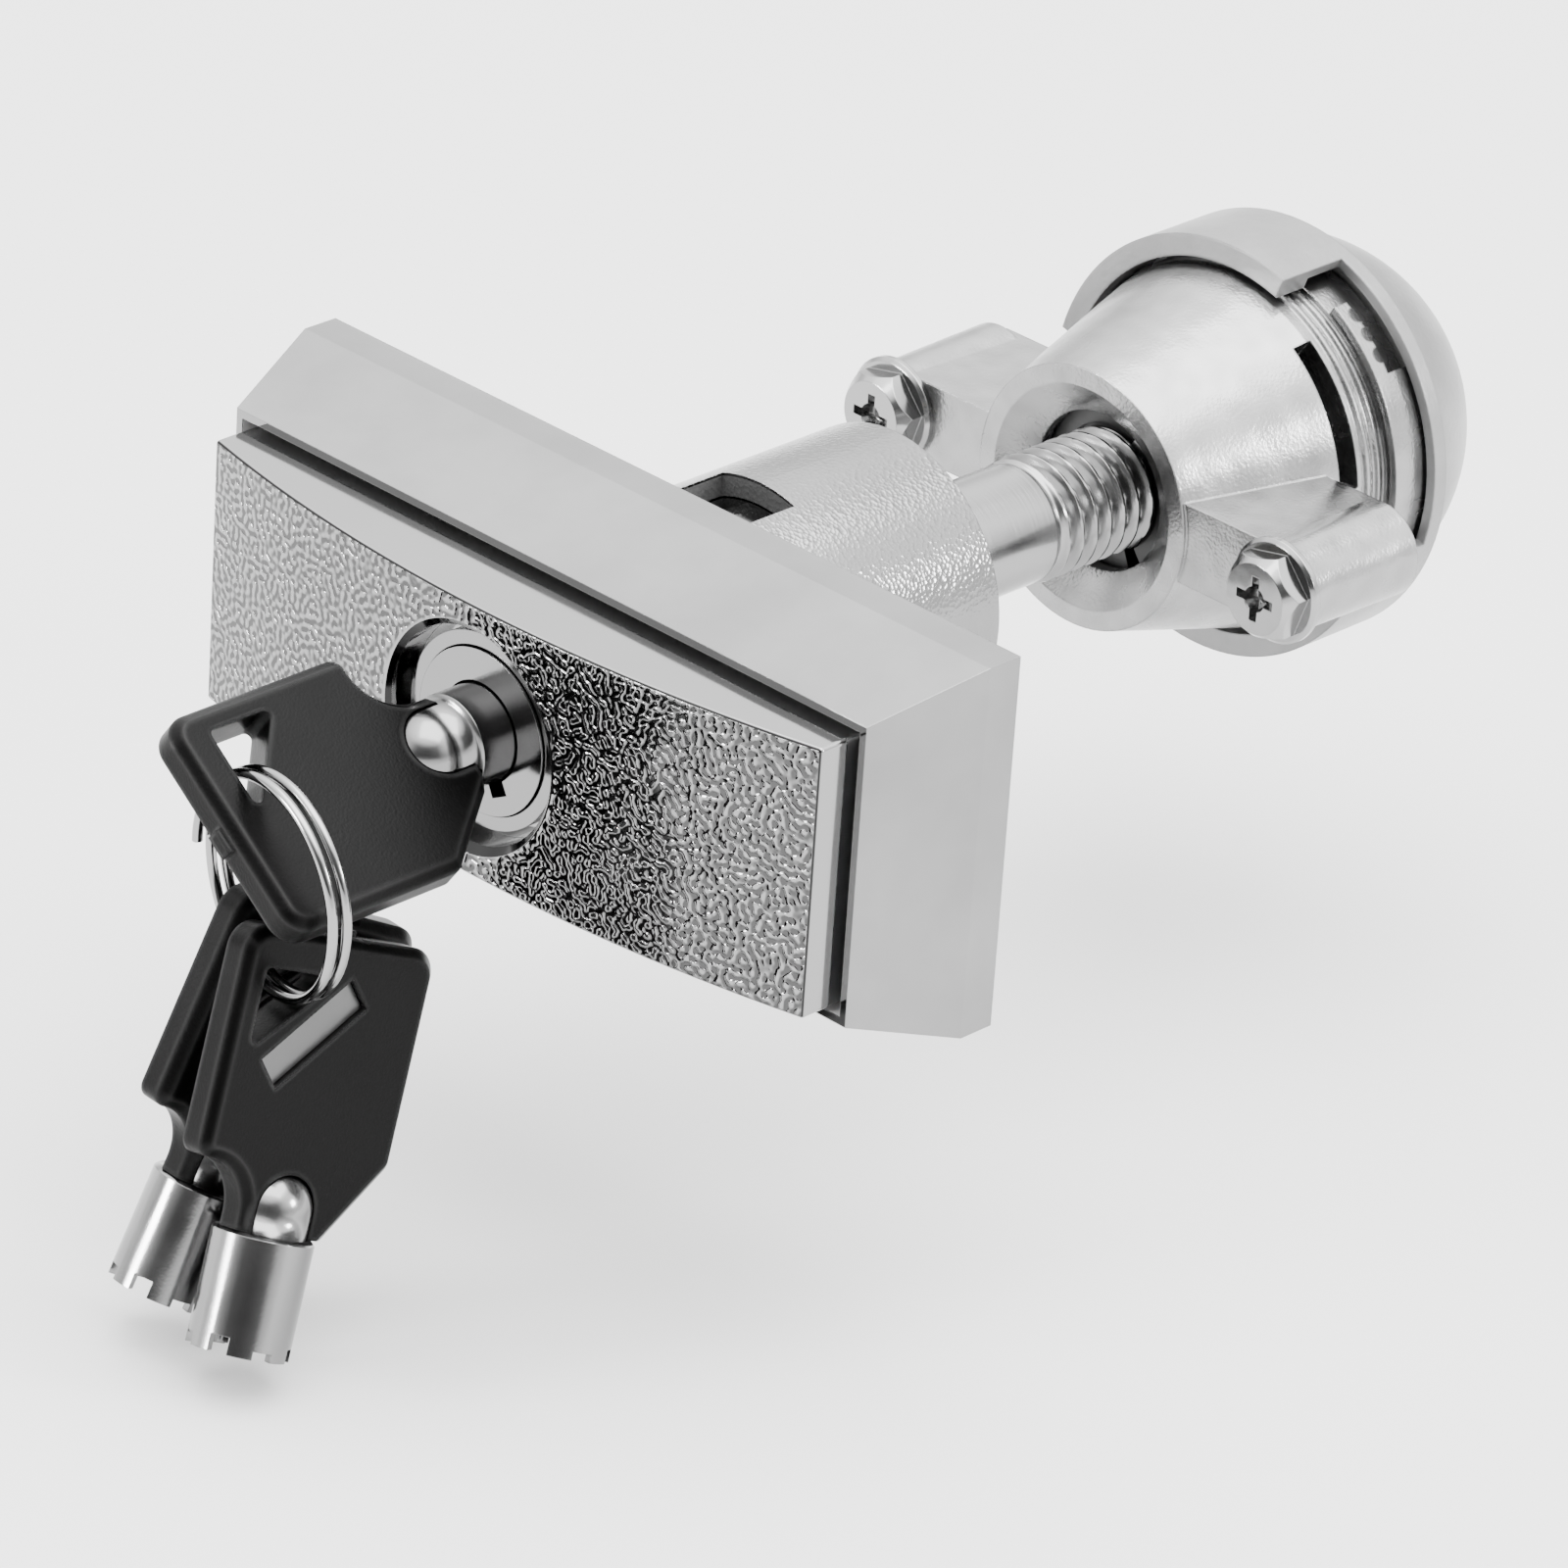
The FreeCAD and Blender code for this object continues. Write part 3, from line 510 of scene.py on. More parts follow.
    def finish_roughness(self, tree: Tree, place: Socket, rough: Socket, where: Socket | None) -> Socket:
        """Duller where the casting is blasted or in the recess.

        Args:
            tree: the material's node tree.
            place: the object coordinates.
            rough: the roughness so far.
            where: the blasting's mask.

        Returns:
            The roughness, with the blasting's share added.
        """
        most = add(tree, "Math", {0: where, 1: self.recess(tree, place)}, operation="MAXIMUM").outputs[0]
        dull = add(tree, "Math", {0: most, 1: self.blast_roughness}, operation="MULTIPLY").outputs[0]
        return add(tree, "Math", {0: rough, 1: dull}, operation="ADD").outputs[0]


@dataclass(frozen=True)
class WrinkledFront(Finish):
    """Bright plate over a front face cast with a fine wormy wrinkle; the sides stay plain.

    Attributes:
        smooth_r_mm: radius round the cylinder inside which the face is plain.
        pocket_fade_mm: how far the wrinkle takes to reach its full depth there.
        front_facing: Y of the normal from which the wrinkle starts, and where it is full.
        border_shade_facing: the same for the painted shade, a dark line in the rounded corner round the
            wrinkle.
        border_shade_colour: colour of that painted shade.
        sleeve_from_mm: place along Y behind which the sleeve is painted dark as the shade inside the collar.
        sleeve_shade_colour: colour of that painted shade.
    """

    smooth_r_mm: float = 11.3
    pocket_fade_mm: float = 0.3
    front_facing: tuple[float, float] = (-0.86, -0.93)
    border_shade_facing: tuple[float, float] = (-0.45, -0.60)
    border_shade_colour: str = "#2C2C2C"
    sleeve_from_mm: float = -1.5
    sleeve_shade_colour: str = "#404040"

    def mask(self, tree: Tree, place: Socket) -> Socket:
        """Places the wrinkle on the crowned front outside the pocket.

        Args:
            tree: the material's node tree.
            place: the object coordinates.

        Returns:
            One where the face looks forward and lies away from the axis, zero elsewhere.
        """
        facing = add(tree, "SeparateXYZ", {0: add(tree, "TexCoord").outputs["Normal"]}).outputs[1]
        front = add(tree, "MapRange", {"Value": facing, "From Min": self.front_facing[0],
                                       "From Max": self.front_facing[1]}).outputs[0]
        edge = self.smooth_r_mm * MM
        outside = add(tree, "MapRange", {"Value": from_axis(tree, place), "From Min": edge,
                                         "From Max": edge + self.pocket_fade_mm * MM}).outputs[0]
        return add(tree, "Math", {0: front, 1: outside}, operation="MULTIPLY").outputs[0]

    def colours(self, tree: Tree, place: Socket, where: Socket | None, rounded: Socket) -> Socket | Colour:
        """Painted shade: a dark colour on the sleeve, which the collar hides, and a dark line in the rounded
        corner round the wrinkle.

        The line's share is how far the normal has turned from the sides' towards the front, times how
        far it still is from the front's own.

        Args:
            tree: the material's node tree.
            place: the object coordinates.
            where: the relief's mask.
            rounded: the normal with rounded corners.

        Returns:
            The socket of the colour.
        """
        along = add(tree, "SeparateXYZ", {0: place}).outputs[1]
        behind = add(tree, "Math", {0: along, 1: self.sleeve_from_mm * MM},
                     operation="GREATER_THAN").outputs[0]
        facing = add(tree, "SeparateXYZ", {0: add(tree, "TexCoord").outputs["Normal"]}).outputs[1]
        start = add(tree, "MapRange", {"Value": facing, "From Min": self.border_shade_facing[0],
                                       "From Max": self.border_shade_facing[1]}).outputs[0]
        end = add(tree, "MapRange", {"Value": facing, "From Min": self.front_facing[1],
                                     "From Max": self.front_facing[0]}).outputs[0]
        border_shade = add(tree, "Math", {0: start, 1: end}, operation="MULTIPLY").outputs[0]
        colour = super().colours(tree, place, where, rounded)
        # Painted shade on the sleeve and in the corner round the wrinkle
        for share, dark in ((behind, self.sleeve_shade_colour), (border_shade, self.border_shade_colour)):
            colour = add(tree, "Mix", {0: share, MIX_FIRST: colour, MIX_SECOND: linear(dark)},
                         data_type="RGBA").outputs[MIX_RESULT]
        return colour


# Zinc casting, polished and chrome plated: a mirror with soft waves and a faint haze in front, and
# bead-blasted on the collar. The craters are about 0.3 mm across and drawn at 0.42, so that they show
BEZEL_CHROME = BlastedCollar(
    "polished_chrome_on_zinc", "#888888", roughness=0.07, roughness_play=0.02, cloud_mm=24.0, edge_mm=0.12,
    haze_colour="#7E7E7E",
    reliefs=(Relief(Pattern.DIMPLES, 0.42, 0.042), Relief(Pattern.GRAIN, 0.5, 0.012),
             Relief(Pattern.WAVES, 13.0, 0.16, everywhere=True)),
)
# Zinc casting with a wrinkle texture in the die, bright chrome plated, so the worms glint; the grooves are
# painted darker as painted shade. The worms lie about 0.8 mm apart and are drawn at 0.93, so that each one
# shows
BLOCK_CHROME = WrinkledFront(
    "wrinkled_chrome_on_zinc", "#8C8C8C", roughness=0.10, roughness_play=0.03, cloud_mm=14.0, edge_mm=0.1,
    groove_shade_colour="#4A4A4A",
    reliefs=(Relief(Pattern.WRINKLE, 0.93, 0.11), Relief(Pattern.WAVES, 12.0, 0.10, everywhere=True)),
)
# Turned brass under bright nickel: a mirror with faint lathe marks. They are about 0.08 mm wide and
# drawn at 0.18, so that they show
CYLINDER_NICKEL = Finish(
    "turned_bright_nickel", "#808080", roughness=0.11, edge_mm=0.08,
    reliefs=(Relief(Pattern.RINGS, 0.18, 0.004),),
)
# Drawn steel tube, nickel plated and polished by tumbling: bright but soft, with slight waves. The
# tumbling's grain is about 0.1 mm and drawn at 0.25, so that it shows
KEY_NICKEL = Finish(
    "tumbled_nickel_tube", "#7C7C7C", roughness=0.17, edge_mm=0.1,
    reliefs=(Relief(Pattern.WAVES, 2.4, 0.02), Relief(Pattern.GRAIN, 0.25, 0.004)),
)
# Bare turned brass: warm and half bright. Its lathe marks are about 0.1 mm wide and drawn at 0.25
TURNED_BRASS = Finish(
    "turned_brass", "#C8A765", roughness=0.22, edge_mm=0.08,
    reliefs=(Relief(Pattern.RINGS, 0.25, 0.006),),
)
# Hardened drawn wire: grey and smooth, with a soft shine
SPRING_STEEL = Finish("spring_steel_wire", "#767677", roughness=0.24, edge_mm=0.05)
# Turned steel with bright zinc: rolled thread flanks shine, the shank shows lathe rings. These are
# about 0.15 mm wide and drawn at 0.35, so that they show
STUD_STEEL = Finish(
    "zinc_plated_turned_steel", "#8C8C8C", roughness=0.20, roughness_play=0.05, edge_mm=0.12,
    reliefs=(Relief(Pattern.RINGS, 0.35, 0.012),),
)
# Plain zinc die casting, tumbled: satin and a little wavy, with tiny bright nicks and painted shade in the
# low places of the waves. The nicks are about 0.2 mm across and drawn at 0.36, so that they show
CAST_ZINC = Finish(
    "tumbled_zinc_casting", "#9A9A9A", roughness=0.25, roughness_play=0.07, cloud_mm=5.0, edge_mm=0.3,
    groove_shade_colour="#888888",
    reliefs=(Relief(Pattern.WAVES, 2.3, 0.045), Relief(Pattern.GRAIN, 0.36, 0.022)),
)
# Zinc casting with a soft matt coat: even grey with a slight haze. The coat's grain is about 0.2 mm
# and drawn at 0.6, so that it shows
CAP_GREY = Finish(
    "matt_coated_casting", "#868686", metallic=0.6, roughness=0.34, roughness_play=0.04, edge_mm=0.35,
    haze_colour="#7C7C7C",
    reliefs=(Relief(Pattern.GRAIN, 0.6, 0.030),),
)
# Hardened steel, coloured dark as painted shade for the gap between the stud and the casting, and dull. Its
# grain is far finer than 0.1 mm and drawn at 0.4, so that the surface isn't plain
NUT_STEEL = Finish(
    "shade_dark_nut_steel", "#404040", roughness=0.42, edge_mm=0.12,
    reliefs=(Relief(Pattern.GRAIN, 0.4, 0.008),),
)
# Stamped steel screws, bright zinc plated: sharp reflections on slightly uneven faces
SCREW_ZINC = Finish(
    "bright_zinc_screw", "#949494", roughness=0.14, edge_mm=0.15,
    reliefs=(Relief(Pattern.WAVES, 1.5, 0.02),),
)
# Glass-filled nylon, moulded against a spark-eroded die: deep black with an even grain and rims painted
# paler as a painted highlight. The grain is about 0.1 mm and drawn at 0.26, so that it shows
KEY_BLACK = Finish(
    "grained_black_nylon", "#030303", metallic=0.0, sheen_level=0.075, roughness=0.32, roughness_play=0.05,
    edge_mm=0.8, corner_highlight_colour="#262626",
    reliefs=(Relief(Pattern.GRAIN, 0.26, 0.020),),
)
# Stamped steel tang, seen at the floor of the bow's recess: bare, dull and a little wavy. Its grain
# is about 0.1 mm and drawn at 0.3, so that it shows
TANG_STEEL = Finish(
    "dull_stamped_tang", "#5C5C5C", roughness=0.40, edge_mm=0.1,
    reliefs=(Relief(Pattern.WAVES, 1.1, 0.03), Relief(Pattern.GRAIN, 0.3, 0.012)),
)
# Drawn wire, bright plated: a mirror bent round, too thin to show a grain
RING_STEEL = Finish("bright_drawn_wire", "#909090", roughness=0.12, edge_mm=0.05)
# Natural nylon, turned: a milky grey with a dull shine
BUSH_NYLON = Finish("natural_nylon", "#8E8C84", metallic=0.0, roughness=0.45, edge_mm=0.15)


def dress(finishes: dict[str, Finish]) -> None:
    """Gives construction pieces their finish.

    Args:
        finishes: node name to finish.
    """
    for name, finish in finishes.items():
        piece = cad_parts[name]
        piece.data.materials.clear()
        piece.data.materials.append(finish.material())
        log.info("%s is finished as %s", name, finish.name)


def settle(piece: Piece, body: str, finish: Finish, stands_for: tuple[str, ...] = ()) -> Piece:
    """Puts a new piece on its body with its finish.

    Args:
        piece: the new object, in place.
        body: the construction body that it moves with.
        finish: what it is made of.
        stands_for: construction nodes that it replaces.

    Returns:
        The same object.
    """
    piece.data.materials.append(finish.material())
    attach(piece, body)
    if stands_for:
        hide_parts(*stands_for)
    log.info("%s has %d faces on %s", piece.name, len(piece.data.polygons), body)
    return piece


# Sub-assemblies

@dataclass
class BezelHousing:
    """Chromed frame with its collar, the snap ring and the bush that carry the stud."""

    finishes: dict[str, Finish] = field(default_factory=lambda: {
        "bezel_housing": BEZEL_CHROME, "retaining_ring": SPRING_STEEL, "stud_bush": BUSH_NYLON,
        "pop_spring": SPRING_STEEL,
    })

    def build(self) -> None:
        """Dresses the housing."""
        dress(self.finishes)


@dataclass
class PopHandle:
    """Crowned block with its cylinder, bolt and the rotor that the key turns."""

    finishes: dict[str, Finish] = field(default_factory=lambda: {
        "handle_block": BLOCK_CHROME, "spring_seat": STUD_STEEL, "lock_shell": CYLINDER_NICKEL,
        "lock_barrel": CYLINDER_NICKEL, "lock_rotor": TURNED_BRASS, "key_pins": TURNED_BRASS,
        "pin_block": TURNED_BRASS, "driver_pins": TURNED_BRASS, "pin_springs": SPRING_STEEL,
        "barrel_pin": SPRING_STEEL, "lock_cam": STUD_STEEL, "latch_bolt": STUD_STEEL,
    })

    def build(self) -> None:
        """Dresses the handle and the cylinder."""
        dress(self.finishes)


@dataclass
class ThreadForm:
    """Right-hand trapezoid thread shared by the stud and the split nut.

    Attributes:
        pitch_mm: rise of one turn.
        crest_r_mm: radius at the crest.
        root_r_mm: radius at the root.
        crest_flat_mm: width of the flat crest.
        flank_deg: how far a flank leans from square to the axis.
    """

    pitch_mm: float = 1.954
    crest_r_mm: float = 6.35
    root_r_mm: float = 5.25
    crest_flat_mm: float = 0.30
    flank_deg: float = 30.0

    def radius(self, angle: np.ndarray, y_mm: np.ndarray) -> np.ndarray:
        """Radius of the thread's surface.

        The distance from the nearest crest along the axis runs from 0 to half a pitch; the radius is
        the crest's up to half the flat, then falls along the flank to the root.

        Args:
            angle: angle round the axis, from Z towards X.
            y_mm: place along the axis.

        Returns:
            The radius in millimetres.
        """
        phase = y_mm / self.pitch_mm - angle / (2 * math.pi)
        off = np.abs(phase - np.round(phase)) * self.pitch_mm - self.crest_flat_mm / 2
        drop = np.clip(off, 0, None) / math.tan(math.radians(self.flank_deg))
        return np.maximum(self.crest_r_mm - drop, self.root_r_mm)


@dataclass
class ThreadedStud:
    """The stud: square drive, flange, shank and a rolled thread, as one closed surface.

    Attributes:
        thread: form of the thread.
        columns: points round the axis.
        steps_per_turn: rings in one turn of the thread.
        square_mm: width of the square drive.
        square_round: radius of its turned corners, as a share of half its width.
        square_corner_mm: bevel at its front end.
        bore_r_mm: radius of the blind bore in the front end.
        bore_end_mm: the bore's floor along Y.
        flange_r_mm: radius of the flange.
        flange_y_mm: the flange's front and rear along Y.
        flange_corner_mm: bevel of its corners.
        shank_r_mm: radius of the plain shank.
        fillet_mm: bevel between the flange and the shank.
        thread_start_mm: where the thread has begun along Y.
        lead_in_mm: how far before that the first turn starts to rise.
        end_chamfer_mm: chamfer at the rear end.
        pole_r_mm: radius at which the two ends close.
    """

    thread: ThreadForm
    columns: int = 96
    steps_per_turn: int = 14
    square_mm: float = 9.0
    square_round: float = 1.31
    square_corner_mm: float = 0.25
    bore_r_mm: float = 3.1
    bore_end_mm: float = 29.0
    flange_r_mm: float = 12.3
    flange_y_mm: tuple[float, float] = (24.0, 26.6)
    flange_corner_mm: float = 0.2
    shank_r_mm: float = 6.05
    fillet_mm: float = 0.3
    thread_start_mm: float = 48.4
    lead_in_mm: float = 0.6
    end_chamfer_mm: float = 1.1
    pole_r_mm: float = 0.01

    def square_radius(self, angle: np.ndarray) -> np.ndarray:
        """Radius of a square with its corners turned off: the nearer of flat side and turned corner.

        Args:
            angle: angle round the axis, from Z towards X.

        Returns:
            The radius in millimetres.
        """
        half = self.square_mm / 2
        flat = half / np.maximum(np.abs(np.cos(angle)), np.abs(np.sin(angle)))
        return np.minimum(flat, half * self.square_round)

    def rings(self, front_mm: float, end_mm: float) -> np.ndarray:
        """All rings of the surface, from the bore's floor round the front to the rear end.

        A plain ring has one radius. In the thread the radius is the thread form's, faded in from the
        shank's over the first turn and held under a cone at the rear end.

        Args:
            front_mm: front end of the square.
            end_mm: rear end of the thread.

        Returns:
            Points of shape (rings, columns, 3) in metres.
        """
        angle = np.linspace(0, 2 * math.pi, self.columns, endpoint=False)
        one = np.ones_like(angle)
        square = self.square_radius(angle)
        flange_front, flange_rear = self.flange_y_mm
        flange_face_r = self.flange_r_mm - self.flange_corner_mm
        rise_start = self.thread_start_mm - self.lead_in_mm
        rows = [
            (self.bore_end_mm, self.pole_r_mm * one), (self.bore_end_mm, self.bore_r_mm * one),
            (front_mm, self.bore_r_mm * one), (front_mm, square - self.square_corner_mm),
            (front_mm + self.square_corner_mm, square), (flange_front, square),
            (flange_front, flange_face_r * one),
            (flange_front + self.flange_corner_mm, self.flange_r_mm * one),
            (flange_rear - self.flange_corner_mm, self.flange_r_mm * one),
            (flange_rear, flange_face_r * one), (flange_rear, (self.shank_r_mm + self.fillet_mm) * one),
            (flange_rear + self.fillet_mm, self.shank_r_mm * one), (rise_start, self.shank_r_mm * one),
        ]
        step = self.thread.pitch_mm / self.steps_per_turn
        for y in np.arange(rise_start + step, end_mm, step):
            cut = self.thread.radius(angle, y * one)
            fade = float(smoothstep(np.array((y - rise_start) / self.thread.pitch_mm)))
            radius = self.shank_r_mm * (1 - fade) + cut * fade
            cone = self.thread.crest_r_mm - max(0.0, y - (end_mm - self.end_chamfer_mm))
            rows.append((y, np.minimum(radius, cone)))
        last = np.minimum(rows[-1][1], self.thread.crest_r_mm - self.end_chamfer_mm)
        rows += [(end_mm, last), (end_mm, self.pole_r_mm * one)]
        y = np.array([row[0] for row in rows])[:, None] * one
        r = np.stack([row[1] for row in rows])
        return np.stack([r * np.sin(angle), y, r * np.cos(angle)], axis=-1) * MM

    def build(self) -> None:
        """Makes the stud in place of the plain one."""
        low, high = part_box("stud")
        points = self.rings(low.y / MM, high.y / MM)
        piece = grid_piece("threaded_stud", points, around=True)
        settle(piece, "bezel", STUD_STEEL, ("stud",))


@dataclass
class Coil:
    """Round wire wound on a helix with closed end turns.

    Attributes:
        name: the piece's name.
        node: the construction node that it stands for.
        radius_mm: radius of the wire's middle line.
        wire_mm: diameter of the wire.
        turns: number of turns.
        end_turns: how much of a turn lies closed at each end, rising by one wire a turn.
        steps_per_turn: rings of the tube in one turn.
        sides: points round the wire.
    """

    name: str
    node: str
    radius_mm: float
    wire_mm: float
    turns: float
    end_turns: float = 0.8
    steps_per_turn: int = 40
    sides: int = 10

    def surface(self, front_mm: float, rear_mm: float) -> np.ndarray:
        """Tube round a helix that rises slowly in its end turns and evenly between them.

        Args:
            front_mm: front end of the coil.
            rear_mm: rear end of the coil.

        Returns:
            Rings of the tube, in metres.
        """
        t = np.linspace(0, 1, int(self.turns * self.steps_per_turn) + 1)[:, None]
        angle = 2 * math.pi * self.turns * t
        end = self.end_turns / self.turns
        rise = np.clip((t - end) / (1 - 2 * end), 0, 1)
        half = self.wire_mm / 2
        closed_mm = self.wire_mm * self.end_turns
        closed = closed_mm * (np.clip(t / end, 0, 1) + np.clip((t - 1 + end) / end, 0, 1))
        y = front_mm + half + closed + (rear_mm - front_mm - self.wire_mm - 2 * closed_mm) * rise
        ring = np.linspace(0, 2 * math.pi, self.sides, endpoint=False)[None, :]
        r = self.radius_mm + half * np.cos(ring)
        return np.stack([r * np.sin(angle), y + half * np.sin(ring), r * np.cos(angle)], axis=-1) * MM

    def build(self, body: str, finish: Finish, slot: str) -> Piece:
        """Makes the coil in the room of its construction node.

        Args:
            body: the body that it moves with.
            finish: what it is made of.
            slot: the record's material slot; not used.

        Returns:
            The coil.
        """
        low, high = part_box(self.node)
        points = self.surface(low.y / MM, high.y / MM)
        piece = grid_piece(self.name, points[:, ::-1], around=True)
        return settle(piece, body, finish, (self.node,))


@dataclass
class SplitNutUnit:
    """Cone housing with ears, its three nut segments, guide, washer, coil, screws and cap.

    Attributes:
        thread: form of the stud's thread.
        play_mm: room between the stud's thread and the segments'.
        bore_gap_mm: how far the segments' bore stands off the stud's crests.
        root_mm: how deep the ridges reach into the segments.
        segment_span_deg: half the angle that one segment takes.
        segment_angles: the segments' middles, from X towards Z.
        ridge_ends_mm: room that the ridges leave at a segment's front and rear.
        ridge_rows: points along the ridges.
        ridge_columns: points round them.
        coil: the spring behind the guide.
        push_mm: how far the unit is pushed to let go.
        finishes: construction node to finish.
    """

    thread: ThreadForm
    play_mm: float = 0.2
    bore_gap_mm: float = 0.16
    root_mm: float = 0.25
    segment_span_deg: float = 50.0
    segment_angles: tuple[int, ...] = (0, 120, 240)
    ridge_ends_mm: tuple[float, float] = (0.3, 3.2)
    ridge_rows: int = 90
    ridge_columns: int = 40
    coil: Coil = field(default_factory=lambda: Coil(
        "nut_coil", "nut_spring", radius_mm=10.6, wire_mm=1.6, turns=5.5))
    push_mm: float = 5.5
    finishes: dict[str, Finish] = field(default_factory=lambda: {
        "nut_housing": CAST_ZINC, "nut_segment_1": NUT_STEEL, "nut_segment_2": NUT_STEEL,
        "nut_segment_3": NUT_STEEL, "segment_guide": STUD_STEEL, "thrust_washer": BUSH_NYLON,
        "ear_screws": SCREW_ZINC, "rear_cap": CAP_GREY,
    })

    def inner_thread(self, number: int, centre_deg: float) -> None:
        """Thread ridges on the bore of one segment, which fill the stud's grooves less some play.

        The surface is the stud's own thread form moved outwards by the play, cut off at the bore,
        and closed by a plain strip that lies inside the segment.

        Args:
            number: the segment's number, from one.
            centre_deg: its middle, from X towards Z.
        """
        low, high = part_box("nut_segment_%d" % number)
        bore = self.thread.crest_r_mm + self.bore_gap_mm
        front, rear = self.ridge_ends_mm
        y = np.linspace(low.y / MM + front, high.y / MM - rear, self.ridge_rows)[:, None]
        spread = np.linspace(-self.segment_span_deg, self.segment_span_deg, self.ridge_columns)
        angle = (math.pi / 2 - np.radians(centre_deg + spread))[None, :]
        inner = np.minimum(self.thread.radius(angle, y) + self.play_mm, bore)
        outer = (bore + self.root_mm) * np.ones_like(inner)
        inner, outer = (
            np.stack([r * np.sin(angle), y + 0 * angle, r * np.cos(angle)], axis=-1) for r in (inner, outer))
        ring = np.concatenate([inner, outer[:, ::-1]], axis=1) * MM
        piece = grid_piece("segment_thread_%d" % number, ring[:, ::-1], around=True)
        settle(piece, "segment_%d" % number, NUT_STEEL)

    def build(self) -> None:
        """Dresses the unit and adds the threads and the coil."""
        dress(self.finishes)
        for number, centre in enumerate(self.segment_angles, start=1):
            self.inner_thread(number, centre)
        piece = self.coil.build("nut_core", SPRING_STEEL, "spring_steel")
        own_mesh(piece)


def islands(mesh: bpy.types.Mesh) -> np.ndarray:
    """Numbers the connected parts of a welded mesh.

    Each vertex takes the lowest number found along its edges, over and over, until nothing changes.

    Args:
        mesh: the mesh, with its doubles merged.

    Returns:
        The part's number for each vertex.
    """
    ends = np.empty(len(mesh.edges) * 2, int)
    mesh.edges.foreach_get("vertices", ends)
    ends = ends.reshape(-1, 2)
    label = np.arange(len(mesh.vertices))
    while True:
        low = np.minimum(label[ends[:, 0]], label[ends[:, 1]])
        before = label.copy()
        np.minimum.at(label, ends[:, 0], low)
        np.minimum.at(label, ends[:, 1], low)
        label = label[label]
        if np.array_equal(before, label):
            return label


def welded_copy(name: str, node: str) -> Piece:
    """Copies a construction piece with its doubles merged, to be finished and to stand for it.

    Args:
        name: the copy's name.
        node: the construction node.

    Returns:
        The copy, in place and with no material yet.
    """
    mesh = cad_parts[node].data.copy()
    mesh.name = name
    mesh.materials.clear()
    work = bmesh.new()
    work.from_mesh(mesh)
    bmesh.ops.remove_doubles(work, verts=work.verts, dist=WELD_GAP)
    work.to_mesh(mesh)
    work.free()
    mesh.polygons.foreach_set("use_smooth", np.ones(len(mesh.polygons), bool))
    mesh.set_sharp_from_angle(angle=COPY_SHARP_ANGLE)
    piece = bpy.data.objects.new(name, mesh)
    bpy.context.scene.collection.objects.link(piece)
    return piece


@dataclass
class KeySet:
    """The key in the lock, two spare keys and the ring that holds them.

    Attributes:
        tubes: node of a key's metal to the body that the key rides on.
        finishes: construction node to finish.
    """

    tubes: dict[str, str] = field(default_factory=lambda: {
        "key_tube": "key", "spare_key_tube_1": "spare_1", "spare_key_tube_2": "spare_2",
    })
    finishes: dict[str, Finish] = field(default_factory=lambda: {
        "key_bow": KEY_BLACK, "spare_key_bow_1": KEY_BLACK, "spare_key_bow_2": KEY_BLACK,
        "key_ring": RING_STEEL,
    })

    def metal(self, node: str, body: str) -> None:
        """Nickel tube and the dull tang that shows in the bow's recess, as one piece.

        Args:
            node: the construction node, whose smaller part is the tang.
            body: the body that the key rides on.
        """
        piece = welded_copy(node + "_plated", node)
        label = islands(piece.data)
        parts, sizes = np.unique(label, return_counts=True)
        corners = np.empty(len(piece.data.loops), int)
        piece.data.loops.foreach_get("vertex_index", corners)
        starts = np.empty(len(piece.data.polygons), int)
        piece.data.polygons.foreach_get("loop_start", starts)
        tang = label[corners[starts]] == parts[np.argmin(sizes)]
        settle(piece, body, KEY_NICKEL, (node,))
        piece.data.materials.append(TANG_STEEL.material())
        piece.data.polygons.foreach_set("material_index", tang.astype(int) * (len(parts) > 1))

    def build(self) -> None:
        """Dresses the keys and the ring."""
        dress(self.finishes)
        for node, body in self.tubes.items():
            self.metal(node, body)


# Studio

@dataclass(frozen=True)
class Softbox:
    """One square lamp that faces the lock.

    Attributes:
        name: the lamp's name.
        at: its place in metres.
        side: its width and height in metres.
        watts: its power.
        target: the place in metres that it faces.
    """

    name: str
    at: tuple[float, float, float]
    side: float
    watts: float
    target: tuple[float, float, float] = (0.0, 0.03, 0.0)

    def build(self) -> None:
        """Adds the lamp, turned to its target."""
        data = bpy.data.lights.new(self.name, "AREA")
        data.shape = "SQUARE"
        data.size = self.side
        data.energy = self.watts
        lamp = bpy.data.objects.new(self.name, data)
        bpy.context.scene.collection.objects.link(lamp)
        lamp.location = self.at
        lamp.rotation_euler = (Vector(self.target) - Vector(self.at)).to_track_quat("-Z", "Y").to_euler()


